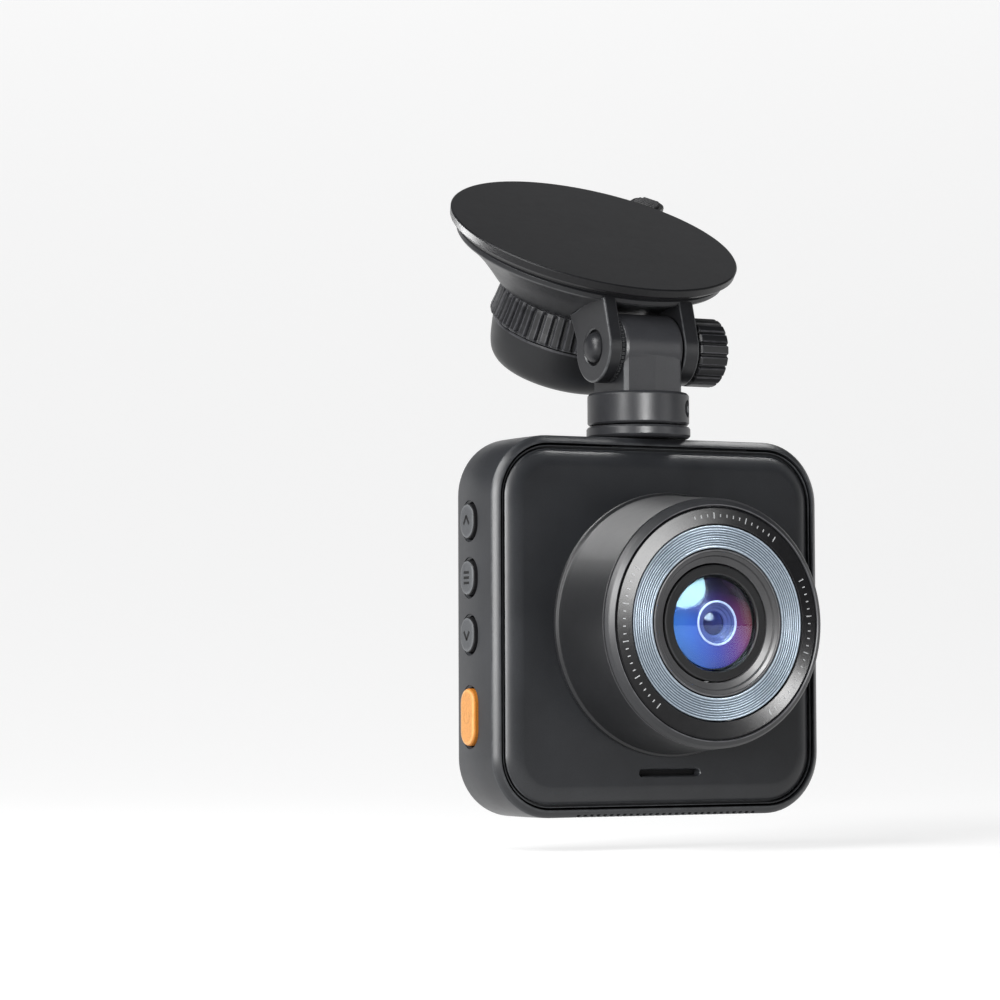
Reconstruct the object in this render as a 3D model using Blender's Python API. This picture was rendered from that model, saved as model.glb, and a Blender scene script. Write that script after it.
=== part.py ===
"""Dash camera on a windscreen suction mount.

Units are metres, +Z is up and the lens looks along -Y.  Drawing dimensions
below are in millimetres; mm() converts them.  The camera drawing is set out
about the centre of the camera body, and everything is then placed so that
the world origin is the centre of the flat suction face.
"""
import math

import bmesh
import bpy
from mathutils import Matrix, Vector

# ---------------------------------------------------------------- dimensions
BODY_W = 75.5            # camera body, left to right
BODY_H = 76.0            # camera body, bottom to top
BODY_R = 12.5            # corner radius at the front edge
BACK_R = 9.5             # corner radius at the back edge
FRONT_Y = -8.4           # front edge of the rear housing
BACK_Y = 8.3             # back edge of the rear housing
WALL = 2.2               # side wall of the rear housing
COVER_Y = -9.3           # face of the front cover
COVER_INSET = 2.8        # front cover edge inside the body outline

LENS_X = 1.4             # lens axis
LENS_Z = 0.35
BARREL_R = 26.5          # foot of the lens barrel
RIM_R = 24.55            # rim at the front of the barrel
RIM_Y = -28.3
PLATE_R = 22.95          # glossy ring plate
GROOVED_R = 19.2         # grooved ring, outer radius
GROOVED_IN = 14.75
CONE_IN = 11.75
RETAINER_R = 11.5
GLASS_R = 9.4

SCREEN_W = 55.1          # lit area
SCREEN_H = 45.5
SCREEN_Z = -0.45

MOUNT_Y = 0.23           # swivel axis is vertical through x = 0, this y
FLANGE_R = 10.6
COLLAR_R = 10.4
PIVOT_Z = 56.8           # tilt axis, along X
EAR_OUT = 10.5           # outer faces of the two ears
EAR_IN = 7.1
EAR_R = 7.15
KNUCKLE_HALF = 6.8
KNUCKLE_R = 6.95
KNOB_R = 6.9
KNOB_X0 = 10.9
KNOB_X1 = 17.4
KNOB_FLUTES = 14

CUP_TILT = 28.47         # suction face leans back by this much
CUP_R = 30.6
FACE = (0.0, 18.33, 82.87)   # suction face centre in the camera drawing
RING_R0 = 16.6           # twist ring, upper and lower radius
RING_R1 = 17.9
RING_FLUTES = 36
GAP = 0.3                # clearance between neighbouring pieces

BUTTON_Z = (21.0, 9.7, -1.65)
BUTTON_Y = 1.6
POWER_Z = -18.0
USB_Y = -2.4
SCREW_X = 30.6           # case screws, under the screen glass
SCREW_Z = 30.6


def mm(v):
    return v * 0.001


# ------------------------------------------------------------------- set-up
for old in list(bpy.data.objects):
    bpy.data.objects.remove(old, do_unlink=True)
for old in list(bpy.data.meshes):
    bpy.data.meshes.remove(old)
for old in list(bpy.data.materials):
    bpy.data.materials.remove(old)

COL = bpy.context.scene.collection
A = math.radians(CUP_TILT)
SHIFT = Vector([-c for c in FACE])


def basis(origin, ax, ay, az):
    """Local drawing frame (mm) with the given axes and origin."""
    m = Matrix.Identity(4)
    for i, a in enumerate((ax, ay, az)):
        for r in range(3):
            m[r][i] = a[r]
    for r in range(3):
        m[r][3] = origin[r]
    return m


BODY = basis((0, 0, 0), (1, 0, 0), (0, 1, 0), (0, 0, 1))
LENS = basis((LENS_X, 0, LENS_Z), (1, 0, 0), (0, 0, 1), (0, -1, 0))   # height = -y
PIVOT = basis((0, MOUNT_Y, PIVOT_Z), (0, 1, 0), (0, 0, 1), (1, 0, 0))  # height = x
SWIVEL = basis((0, MOUNT_Y, 0), (1, 0, 0), (0, 1, 0), (0, 0, 1))       # height = z
CUP = basis(FACE, (1, 0, 0), (0, math.cos(A), math.sin(A)),
            (0, -math.sin(A), math.cos(A)))                            # height along the cup axis
SIDE = basis((0, 0, 0), (0, 1, 0), (0, 0, 1), (1, 0, 0))               # (y, z, x)
PLAN = basis((0, 0, 0), (1, 0, 0), (0, 0, 1), (0, -1, 0))              # (x, z, -y)


# ----------------------------------------------------------------- materials
def material(name, color, rough, metal=0.0, emit=None, alpha=None):
    m = bpy.data.materials.new(name)
    m.use_nodes = True
    p = m.node_tree.nodes["Principled BSDF"]
    p.inputs["Base Color"].default_value = (*color, 1.0)
    p.inputs["Roughness"].default_value = rough
    p.inputs["Metallic"].default_value = metal
    if emit:
        p.inputs["Emission Color"].default_value = (*emit, 1.0)
        p.inputs["Emission Strength"].default_value = 1.0
    m.diffuse_color = (*color, 1.0)
    return m


M = {
    "housing_plastic": material("housing_plastic", (0.030, 0.032, 0.035), 0.42),
    "barrel_plastic": material("barrel_plastic", (0.022, 0.023, 0.025), 0.36),
    "gloss_black": material("gloss_black", (0.006, 0.006, 0.007), 0.08),
    "ring_metal": material("ring_metal", (0.18, 0.23, 0.27), 0.30, 0.8),
    "lens_glass": material("lens_glass", (0.05, 0.07, 0.16), 0.03),
    "lens_black": material("lens_black", (0.02, 0.02, 0.021), 0.55),
    "button_grey": material("button_grey", (0.075, 0.08, 0.085), 0.45),
    "power_orange": material("power_orange", (0.95, 0.42, 0.08), 0.45),
    "screen_glass_gloss": material("screen_glass_gloss", (0.008, 0.008, 0.009), 0.06),
    "screen_lit": material("screen_lit", (0.25, 0.40, 0.60), 0.20, 0.0, (0.25, 0.42, 0.62)),
    "mount_plastic": material("mount_plastic", (0.040, 0.041, 0.044), 0.45),
    "cup_rubber": material("cup_rubber", (0.018, 0.018, 0.020), 0.32),
    "grip_plastic": material("grip_plastic", (0.020, 0.020, 0.021), 0.50),
    "steel": material("steel", (0.55, 0.55, 0.56), 0.30, 1.0),
    "black_steel": material("black_steel", (0.045, 0.045, 0.048), 0.32, 1.0),
    "brass": material("brass", (0.72, 0.52, 0.22), 0.30, 1.0),
    "board_green": material("board_green", (0.02, 0.14, 0.06), 0.50),
    "chip_black": material("chip_black", (0.02, 0.02, 0.02), 0.45),
    "cell_silver": material("cell_silver", (0.55, 0.56, 0.58), 0.35, 0.7),
    "pad_grey": material("pad_grey", (0.45, 0.46, 0.48), 0.80),
    "filter_glass": material("filter_glass", (0.10, 0.28, 0.30), 0.05),
}


# ------------------------------------------------------------------ builders
def finish(name, bm, mat, origin=(0, 0, 0), smooth=True):
    """Turn a drawing-space bmesh (mm) into a placed object with its origin set."""
    bmesh.ops.remove_doubles(bm, verts=bm.verts, dist=1e-5)
    bmesh.ops.recalc_face_normals(bm, faces=bm.faces)
    o = Vector(origin)
    for v in bm.verts:
        v.co = (v.co - o) * 0.001
    me = bpy.data.meshes.new(name)
    bm.to_mesh(me)
    bm.free()
    for p in me.polygons:
        p.use_smooth = smooth
    me.materials.append(M[mat])
    ob = bpy.data.objects.new(name, me)
    COL.objects.link(ob)
    ob.location = (o + SHIFT) * 0.001
    return ob


def ring_bm(profile, frame, seg, closed=True, radius_fn=None, phase=0.0):
    """Revolve a profile of (r, h) about the frame's third axis.

    closed=True joins the last profile point to the first (a ring); otherwise
    the profile must start and end on the axis or it is capped flat."""
    bm = bmesh.new()
    loops = []
    for r, h in profile:
        if r < 1e-6:
            loops.append([bm.verts.new(frame @ Vector((0, 0, h)))])
            continue
        row = []
        for k in range(seg):
            t = 2 * math.pi * (k + phase) / seg
            rr = radius_fn(r, h, k) if radius_fn else r
            row.append(bm.verts.new(frame @ Vector((rr * math.cos(t), rr * math.sin(t), h))))
        loops.append(row)
    pairs = list(zip(loops, loops[1:]))
    if closed:
        pairs.append((loops[-1], loops[0]))
    for a, b in pairs:
        if len(a) == 1 and len(b) == 1:
            continue
        for k in range(seg):
            j = (k + 1) % seg
            if len(a) == 1:
                bm.faces.new((a[0], b[j], b[k]))
            elif len(b) == 1:
                bm.faces.new((a[k], a[j], b[0]))
            else:
                bm.faces.new((a[k], a[j], b[j], b[k]))
    if not closed:
        for row in (loops[0], loops[-1]):
            if len(row) > 1:
                bm.faces.new(row)
    return bm


def rrect(w, h, r, seg=6, cx=0.0, cz=0.0):
    """Outline of a rounded rectangle, anticlockwise."""
    pts = []
    for sx, sz, a0 in ((1, 1, 0), (-1, 1, 90), (-1, -1, 180), (1, -1, 270)):
        for k in range(seg + 1):
            t = math.radians(a0 + 90.0 * k / seg)
            pts.append((cx + sx * (w / 2 - r) + r * math.cos(t),
                        cz + sz * (h / 2 - r) + r * math.sin(t)))
    return pts


def loft_bm(rows, frame):
    """Solid through a stack of outlines [(height, [(u, v), ...]), ...]."""
    bm = bmesh.new()
    loops = [[bm.verts.new(frame @ Vector((u, v, h))) for u, v in pts] for h, pts in rows]
    n = len(loops[0])
    for a, b in zip(loops, loops[1:]):
        for k in range(n):
            j = (k + 1) % n
            bm.faces.new((a[k], a[j], b[j], b[k]))
    bm.faces.new(loops[0])
    bm.faces.new(loops[-1])
    bmesh.ops.recalc_face_normals(bm, faces=bm.faces)
    return bm


def box_bm(x0, x1, y0, y1, z0, z1, frame=None):
    pts = [(x0, y0), (x1, y0), (x1, y1), (x0, y1)]
    return loft_bm([(z0, pts), (z1, pts)], frame or BODY)


def disc_bm(r, h0, h1, frame, seg=24, phase=0.0):
    return ring_bm([(r, h0), (r, h1)], frame, seg, closed=False, phase=phase)


def boolean(ob, tool_bm, op="DIFFERENCE"):
    """Apply one exact Boolean with a tool drawn in the same drawing space."""
    me = bpy.data.meshes.new("tool")
    bmesh.ops.recalc_face_normals(tool_bm, faces=tool_bm.faces)
    tool_bm.to_mesh(me)
    tool_bm.free()
    me.transform(Matrix.Scale(0.001, 4))
    tool = bpy.data.objects.new("tool", me)
    COL.objects.link(tool)
    tool.location = SHIFT * 0.001
    mod = ob.modifiers.new("bool", "BOOLEAN")
    mod.operation = op
    mod.solver = "EXACT"
    mod.object = tool
    bpy.context.view_layer.update()
    dg = bpy.context.evaluated_depsgraph_get()
    new = bpy.data.meshes.new_from_object(ob.evaluated_get(dg))
    ob.modifiers.clear()
    old = ob.data
    ob.data = new
    bpy.data.meshes.remove(old)
    bpy.data.objects.remove(tool, do_unlink=True)
    bpy.data.meshes.remove(me)


def join(ob, tool_bm):
    boolean(ob, tool_bm, "UNION")


def tidy(ob, dist=2e-6):
    bm = bmesh.new()
    bm.from_mesh(ob.data)
    bmesh.ops.remove_doubles(bm, verts=bm.verts, dist=dist)
    bmesh.ops.dissolve_degenerate(bm, edges=bm.edges, dist=1e-6)
    bmesh.ops.recalc_face_normals(bm, faces=bm.faces)
    bm.to_mesh(ob.data)
    bm.free()


# ============================================================= rear housing
def outline(inset, seg=6, r=BODY_R):
    return rrect(BODY_W - 2 * inset, BODY_H - 2 * inset, r - inset, seg)


# height runs along -y here
housing = finish("rear_housing", loft_bm([
    (-BACK_Y, outline(0.9, 6, BACK_R)), (-BACK_Y + 0.3, outline(0.25, 6, BACK_R)),
    (-BACK_Y + 0.9, outline(0.0, 6, BACK_R)),
    (-FRONT_Y - 0.9, outline(0.0)), (-FRONT_Y - 0.3, outline(0.45)), (-FRONT_Y, outline(1.3)),
], PLAN), "housing_plastic", (0, MOUNT_Y, 41.0))
# pocket for the electronics, open at the front
boolean(housing, loft_bm([(-5.4, outline(WALL)), (-FRONT_Y + 3, outline(WALL))], PLAN))
# recess for the screen glass and the window to the display
boolean(housing, loft_bm([(-BACK_Y - 1, rrect(67.7, 68.2, 6.6, 5)),
                          (-7.1, rrect(67.7, 68.2, 6.6, 5))], PLAN))
boolean(housing, loft_bm([(-9, rrect(SCREEN_W + 2.4, SCREEN_H + 2.4, 1.5, 2, 0, SCREEN_Z)),
                          (-4, rrect(SCREEN_W + 2.4, SCREEN_H + 2.4, 1.5, 2, 0, SCREEN_Z))], PLAN))
# boss under the top wall that carries the T-slot for the mount foot
join(housing, box_bm(-9.5, 22.3, -5.6, 5.6, 32.4, 36.9))
boolean(housing, box_bm(-6.9, 8.0, MOUNT_Y - 4.5, MOUNT_Y + 4.5, 34.0, 36.3))
boolean(housing, box_bm(-5.5, 8.0, MOUNT_Y - 3.4, MOUNT_Y + 3.4, 35.5, 39.0))
boolean(housing, box_bm(6.6, 20.4, MOUNT_Y - 4.5, MOUNT_Y + 4.5, 34.0, 39.0))
# button openings in the left wall
for z in BUTTON_Z:
    boolean(housing, loft_bm([(-41, rrect(6.5, 7.6, 3.1, 4, BUTTON_Y, z)),
                              (-34.5, rrect(6.5, 7.6, 3.1, 4, BUTTON_Y, z))], SIDE))
boolean(housing, loft_bm([(-41, rrect(6.6, 12.0, 3.25, 4, BUTTON_Y, POWER_Z)),
                          (-34.5, rrect(6.6, 12.0, 3.25, 4, BUTTON_Y, POWER_Z))], SIDE))
# card slot and cable inlet in the right wall
boolean(housing, box_bm(34.5, 41, 1.0, 2.4, -17.0, -5.3))
boolean(housing, loft_bm([(34.5, rrect(3.6, 8.6, 1.2, 2, USB_Y, 10.0)),
                          (41, rrect(3.6, 8.6, 1.2, 2, USB_Y, 10.0))], SIDE))
# sound openings in the floor
for k in range(11):
    x = LENS_X - 15 + 3.0 * k
    boolean(housing, box_bm(x - 0.7, x + 0.7, -6.6, -3.4, -40, -35))
# screw holes through the back wall, under the screen glass
for sx in (-1, 1):
    for sz in (-1, 1):
        at = basis((sx * SCREW_X, 0, sz * SCREW_Z), (1, 0, 0), (0, 0, 1), (0, -1, 0))
        boolean(housing, disc_bm(1.4, -9, -4, at, 12))
        boolean(housing, disc_bm(2.4, -9, -6.1, at, 16))
tidy(housing)

# ============================================================== front cover
cover = finish("front_cover", loft_bm([
    (6.0, outline(WALL + GAP)), (7.3, outline(WALL + GAP)), (7.3, outline(COVER_INSET)),
    (8.1, outline(COVER_INSET)), (8.7, outline(COVER_INSET + 0.35)),
    (9.1, outline(COVER_INSET + 1.1)), (-COVER_Y, outline(COVER_INSET + 2.6)),
], PLAN), "housing_plastic", (0, MOUNT_Y, 41.0))
boolean(cover, disc_bm(13.0, 3, 12, LENS, 32))
boolean(cover, loft_bm([(4, rrect(14.0, 1.6, 0.75, 3, LENS_X, -29.3)),
                        (12, rrect(14.0, 1.6, 0.75, 3, LENS_X, -29.3))], PLAN))
for sx in (-1, 1):
    for sz in (-1, 1):
        at = basis((sx * SCREW_X, 0, sz * SCREW_Z), (1, 0, 0), (0, 0, 1), (0, -1, 0))
        join(cover, disc_bm(2.2, -3.6, 6.6, at, 16))
        boolean(cover, disc_bm(1.15, -5, 5.0, at, 12))
tidy(cover)

# ====================================================== lens barrel and trim
CAM = (0, MOUNT_Y, 41.0)
finish("lens_barrel", ring_bm([
    (BARREL_R - 0.5, 9.6), (BARREL_R, 9.9), (BARREL_R, 10.6), (BARREL_R - 0.45, 11.3),
    (24.75, 25.9), (24.5, 26.5), (22.4, 26.5), (22.4, 12.5), (14.0, 11.2), (14.0, 9.6),
], LENS, 36), "barrel_plastic", CAM)
finish("lens_trim_ring", ring_bm([
    (RIM_R, 26.8), (RIM_R + 0.05, 27.4), (RIM_R - 0.25, 27.9), (RIM_R - 0.9, -RIM_Y),
    (PLATE_R + 0.3, 28.25), (PLATE_R + 0.3, 27.3), (20.3, 27.0), (20.3, 22.0), (22.0, 22.0),
    (22.0, 26.8),
], LENS, 36), "gloss_black", CAM)
finish("lens_face_plate", ring_bm([
    (PLATE_R, 27.7), (PLATE_R, 28.2), (PLATE_R - 0.3, 28.45), (GROOVED_R + 0.5, 28.75),
    (GROOVED_R + 0.3, 28.6), (GROOVED_R + 0.3, 27.4), (20.6, 27.4), (20.9, 27.7),
], LENS, 36), "gloss_black", CAM)


def grooves(r0, r1, h, depth, n):
    """Concentric vee grooves between two radii."""
    pts = []
    step = (r0 - r1) / n
    for k in range(n):
        pts.append((r0 - step * k, h))
        pts.append((r0 - step * (k + 0.5), h - depth))
    pts.append((r1, h))
    return pts


finish("grooved_ring", ring_bm(
    [(GROOVED_R, 26.6)] + grooves(GROOVED_R, GROOVED_IN, 28.6, 0.22, 3) + [(GROOVED_IN, 26.6)],
    LENS, 36), "ring_metal", CAM)
finish("lens_inner_cone", ring_bm([
    (GROOVED_IN - GAP, 26.9), (GROOVED_IN - GAP, 28.5), (GROOVED_IN - 0.8, 28.55),
    (GROOVED_IN - 1.3, 28.2), (CONE_IN + 0.6, 27.7), (CONE_IN, 27.9), (CONE_IN, 23.0),
    (CONE_IN + 1.3, 23.0), (CONE_IN + 1.6, 26.4),
], LENS, 32), "lens_black", CAM)
finish("lens_retainer_ring", ring_bm([
    (RETAINER_R - 0.05, 25.4), (RETAINER_R - 0.05, 27.75), (RETAINER_R - 0.5, 28.05),
    (GLASS_R + 0.5, 28.05), (GLASS_R + GAP, 27.8), (GLASS_R + GAP, 25.4),
], LENS, 32), "lens_black", CAM)
finish("front_lens", ring_bm([
    (0, 29.15), (3.2, 29.0), (6.2, 28.55), (8.4, 27.95), (GLASS_R, 27.5), (GLASS_R, 26.0),
    (8.0, 25.8), (5.6, 26.5), (3.0, 27.0), (0, 27.2),
], LENS, 20, closed=False), "lens_glass", CAM)
finish("lens_holder", ring_bm([
    (11.0, 22.6), (11.0, 25.1), (8.6, 25.1), (8.2, 20.0), (7.2, 14.0), (6.4, 5.0), (6.4, 2.6),
    (9.6, 2.6), (9.6, 5.4), (8.2, 6.6), (9.8, 21.4),
], LENS, 32), "lens_black", CAM)
finish("aperture_ring", ring_bm([
    (7.9, 21.5), (7.6, 21.9), (4.5, 21.7), (4.0, 21.2), (4.3, 20.7), (7.6, 20.9),
], LENS, 32), "steel", CAM)
finish("lens_element_2", ring_bm([
    (0, 20.6), (2.4, 20.4), (4.6, 19.8), (7.1, 18.9), (7.1, 18.2), (0, 18.2),
], LENS, 20, closed=False), "lens_glass", CAM)
finish("lens_element_3", ring_bm([
    (0, 13.4), (3.2, 13.0), (6.1, 12.1), (6.1, 11.4), (3.2, 10.7), (0, 10.4),
], LENS, 20, closed=False), "lens_glass", CAM)
finish("ir_filter", loft_bm([(4.1, rrect(7.6, 7.6, 0.4, 1)), (4.7, rrect(7.6, 7.6, 0.4, 1))], LENS),
       "filter_glass", CAM, smooth=False)
finish("image_sensor", loft_bm([(2.2, rrect(8.4, 8.4, 0.4, 1)), (3.2, rrect(8.4, 8.4, 0.4, 1))],
                               LENS), "chip_black", CAM, smooth=False)

# =============================================================== electronics
FLAT = dict(smooth=False)
finish("sensor_board", loft_bm([(0.9, rrect(24, 24, 1.5, 2)), (1.9, rrect(24, 24, 1.5, 2))], LENS),
       "board_green", CAM, **FLAT)
finish("main_board", loft_bm([(-0.4, rrect(60.6, 54.0, 2, 2, 1.7, 0.7)),
                              (0.6, rrect(60.6, 54.0, 2, 2, 1.7, 0.7))], PLAN),
       "board_green", CAM, **FLAT)
finish("processor_chip", box_bm(-26, -14, -2.2, -0.9, -6, 6), "chip_black", CAM, **FLAT)
finish("thermal_pad", box_bm(-25.5, -14.5, -3.6, -2.5, -5.5, 5.5), "pad_grey", CAM, **FLAT)
finish("heat_spreader", box_bm(-27, -13, -5.0, -3.9, -9, 9), "cell_silver", CAM, **FLAT)
finish("battery", loft_bm([(0.9, rrect(38, 16, 1.5, 2, 0, 21.5)),
                           (5.6, rrect(38, 16, 1.5, 2, 0, 21.5))], PLAN),
       "cell_silver", CAM, **FLAT)
finish("speaker", loft_bm([(1.2, rrect(20, 9, 1.5, 2, LENS_X + 3, -24)),
                           (5.6, rrect(20, 9, 1.5, 2, LENS_X + 3, -24))], PLAN),
       "chip_black", CAM, **FLAT)
finish("microphone", ring_bm([(2.0, 1.0), (2.0, 3.2)], basis((-14, 0, -24), (1, 0, 0), (0, 0, 1),
                                                             (0, -1, 0)), 16, closed=False),
       "cell_silver", CAM, **FLAT)
card = finish("card_socket", box_bm(21.0, 35.2, 0.7, 3.2, -18.6, -3.7), "cell_silver", CAM, **FLAT)
boolean(card, box_bm(21.8, 40, 1.05, 2.35, -16.9, -5.4))
finish("memory_card", box_bm(22.4, 37.3, 1.35, 2.05, -16.6, -5.7), "chip_black",
       (36, 1.7, -11.15), **FLAT)
usb = finish("usb_socket", loft_bm([(28.6, rrect(3.0, 8.0, 0.9, 2, USB_Y, 10.0)),
                                    (35.2, rrect(3.0, 8.0, 0.9, 2, USB_Y, 10.0))], SIDE),
             "steel", CAM, **FLAT)
boolean(usb, loft_bm([(29.6, rrect(2.2, 7.2, 0.5, 1, USB_Y, 10.0)),
                      (38, rrect(2.2, 7.2, 0.5, 1, USB_Y, 10.0))], SIDE))
finish("button_board", box_bm(-30.3, -29.5, -4.0, 3.0, -26, 26), "board_green", CAM, **FLAT)
for label, z in zip(("up", "menu", "down", "power"), BUTTON_Z + (POWER_Z,)):
    finish("switch_" + label, box_bm(-33.6, -30.6, BUTTON_Y - 2.6, BUTTON_Y + 1.3, z - 2.4, z + 2.4),
           "cell_silver", CAM, **FLAT)
    tall = label == "power"
    w, h, r = (6.0, 11.4, 2.99) if tall else (5.9, 7.0, 2.94)
    out = 0.9 if tall else 0.75
    x0 = -BODY_W / 2 - out

    def face(d, x, w=w, h=h, r=r, z=z):
        return (x, rrect(w - 2 * d, h - 2 * d, r - d, 5, BUTTON_Y, z))

    finish("button_" + label, loft_bm([
        face(0.7, x0), face(0.25, x0 + 0.12), face(0.0, x0 + 0.45), face(0.0, -35.25),
        face(-0.55, -35.25), face(-0.55, -34.6), face(1.2, -34.6), face(1.2, -34.1),
    ], SIDE), "power_orange" if tall else "button_grey", (x0, BUTTON_Y, z))

finish("lcd_frame", loft_bm([(-3.95, rrect(58.6, 49.0, 1.2, 2, 0, SCREEN_Z)),
                             (-3.55, rrect(58.6, 49.0, 1.2, 2, 0, SCREEN_Z))], PLAN),
       "steel", CAM, **FLAT)
finish("lcd_panel", loft_bm([(-7.0, rrect(SCREEN_W + 1.8, SCREEN_H + 1.8, 1.0, 2, 0, SCREEN_Z)),
                             (-4.25, rrect(SCREEN_W + 1.8, SCREEN_H + 1.8, 1.0, 2, 0, SCREEN_Z))],
                            PLAN), "screen_lit", CAM, **FLAT)
finish("screen_glass", loft_bm([
    (-8.2, rrect(66.5, 67.0, 6.0, 5)), (-8.0, rrect(67.0, 67.5, 6.25, 5)),
    (-7.35, rrect(67.0, 67.5, 6.25, 5))], PLAN), "screen_glass_gloss", CAM, **FLAT)
n = 0
for sx in (-1, 1):
    for sz in (-1, 1):
        n += 1
        at = basis((sx * SCREW_X, 0, sz * SCREW_Z), (1, 0, 0), (0, 0, 1), (0, -1, 0))
        finish("case_screw_%d" % n, ring_bm([
            (0, -7.0), (1.6, -7.0), (2.0, -6.7), (2.0, -6.4), (0.85, -6.4), (0.85, 3.5), (0, 4.2)],
            at, 8, closed=False), "steel", CAM)

# ================================================================ mount foot
FOOT = (0, MOUNT_Y, 41.0)
foot = finish("mount_foot", ring_bm([
    (0, 47.0), (4.7, 47.0), (5.1, 46.6), (5.1, 45.9), (3.9, 45.9), (3.9, 42.9), (5.1, 42.9),
    (5.1, 40.4), (FLANGE_R - 0.35, 40.4), (FLANGE_R, 40.05), (FLANGE_R, 38.85),
    (FLANGE_R - 0.35, 38.5), (0, 38.5),
], SWIVEL, 32, closed=False), "mount_plastic", FOOT)
join(foot, box_bm(-5.2, 5.2, MOUNT_Y - 3.1, MOUNT_Y + 3.1, 34.8, 39.4))
join(foot, box_bm(-6.6, 6.0, MOUNT_Y - 4.2, MOUNT_Y + 4.2, 34.3, 36.0))
tidy(foot)

# ======================================================= neck with its collar
PIV = (0, MOUNT_Y, PIVOT_Z)
neck = finish("swivel_neck", disc_bm(COLLAR_R, 41.0, 47.3, SWIVEL, 36), "mount_plastic", PIV)
bev = neck.modifiers.new("edge", "BEVEL")
bev.width = mm(0.5)
bev.segments = 1
bev.limit_method = "ANGLE"
bev.angle_limit = math.radians(60)
join(neck, loft_bm([(46.0, [(x, y + MOUNT_Y) for x, y in (
    (6.15, -7.1), (6.75, -6.5), (6.75, 6.4), (6.15, 7.0),
    (-6.15, 7.0), (-6.75, 6.4), (-6.75, -6.5), (-6.15, -7.1))]),
    (PIVOT_Z, [(x, y + MOUNT_Y) for x, y in (
        (6.15, -7.1), (6.75, -6.5), (6.75, 6.4), (6.15, 7.0),
        (-6.15, 7.0), (-6.75, 6.4), (-6.75, -6.5), (-6.15, -7.1))])], BODY))
join(neck, ring_bm([(0, -KNUCKLE_HALF), (KNUCKLE_R - 0.5, -KNUCKLE_HALF), (KNUCKLE_R, -KNUCKLE_HALF + 0.5),
                    (KNUCKLE_R, KNUCKLE_HALF - 0.5), (KNUCKLE_R - 0.5, KNUCKLE_HALF), (0, KNUCKLE_HALF)],
                   PIVOT, 32, closed=False))
boolean(neck, disc_bm(5.4, 39.0, 47.4, SWIVEL, 32))
boolean(neck, disc_bm(2.2, -9, 9, PIVOT, 20))
PIN_AZ = math.radians(-44)
PIN = basis((0, MOUNT_Y, 44.4), (-math.sin(PIN_AZ), math.cos(PIN_AZ), 0), (0, 0, 1),
            (math.cos(PIN_AZ), math.sin(PIN_AZ), 0))
boolean(neck, disc_bm(1.5, 4.0, 12, PIN, 16))
tidy(neck)
finish("retaining_pin", ring_bm([(0, 4.25), (0.9, 4.25), (1.2, 4.6), (1.2, 8.4), (0.9, 8.7), (0, 8.7)],
                                PIN, 12, closed=False), "steel", PIV)

# =========================================================== suction holder
HOLD = FACE
frame = finish("cup_frame", ring_bm([
    (28.4, -3.3), (28.7, -3.6), (28.7, -4.3), (27.9, -4.7), (25.4, -5.9), (22.0, -8.5),
    (19.4, -11.3), (17.4, -13.3), (16.8, -13.5), (9.2, -13.5), (9.0, -21.6), (3.4, -21.6), (3.4, -8.6),
    (11.0, -8.2), (24.5, -4.4), (26.8, -3.3),
], CUP, 36), "mount_plastic", HOLD)


def to_side(e, h):
    """Point in the cup's (e, h) plane as (y, z) of the side drawing."""
    p = CUP @ Vector((0, e, h))
    return (p.y, p.z)


def ear_outline():
    pts = [to_side(-27.6, -3.5)]
    for t in (0.0, 0.25, 0.5, 0.75, 1.0):              # hollow rear edge
        y = 2.5 + (10.3 - 2.5) * t
        z = 67.5 + (64.7 - 67.5) * t - 0.55 * 4 * t * (1 - t)
        pts.append((y, z))
    for k in range(15):                                 # round end about the tilt axis
        t = math.radians(12 - k * (204.0 / 14))
        pts.append((MOUNT_Y + EAR_R * math.cos(t), PIVOT_Z + EAR_R * math.sin(t)))
    return pts


EAR = ear_outline()
for x0, x1 in ((-EAR_OUT, -7.9), (EAR_IN, EAR_OUT)):
    join(frame, loft_bm([(x0, EAR), (x1, EAR)], SIDE))
boolean(frame, disc_bm(2.2, -14, 14, PIVOT, 20))
boolean(frame, disc_bm(3.7, -14, -9.3, PIVOT, 24))
boolean(frame, disc_bm(5.2, 9.6, 14, PIVOT, 24))
tidy(frame)

cup = finish("suction_cup", ring_bm([
    (0, 0), (29.6, 0), (30.3, -0.3), (CUP_R, -1.1), (30.45, -2.1), (29.9, -2.75), (28.6, -3.0),
    (26.5, -3.0), (22.0, -2.9), (8.0, -3.9), (5.6, -5.2), (0, -5.2),
], CUP, 48, closed=False), "cup_rubber", HOLD)
TAB_AT = math.radians(43.3)
TAB = basis(CUP @ Vector((0, 0, 0)),
            (CUP.to_3x3() @ Vector((math.cos(TAB_AT), math.sin(TAB_AT), 0))),
            (CUP.to_3x3() @ Vector((-math.sin(TAB_AT), math.cos(TAB_AT), 0))),
            CUP.to_3x3() @ Vector((0, 0, 1)))
tab = loft_bm([(-2.3, [(27.5, -3.6), (35.0, -3.6), (37.4, -2.5), (38.2, 0), (37.4, 2.5), (35.0, 3.6), (27.5, 3.6)]),
               (-0.55, [(27.5, -3.6), (35.0, -3.6), (37.4, -2.5), (38.2, 0), (37.4, 2.5), (35.0, 3.6), (27.5, 3.6)])],
              TAB)
join(cup, tab)
tidy(cup)

finish("draw_stem", ring_bm([
    (0, -5.5), (3.0, -5.5), (3.0, -22.2), (6.8, -22.4), (6.8, -24.4), (0, -24.4)],
    CUP, 24, closed=False), "grip_plastic", HOLD)


def knurl(r, h, k):
    return r if k % 2 == 0 or r < 15 else r - 0.75


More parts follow.
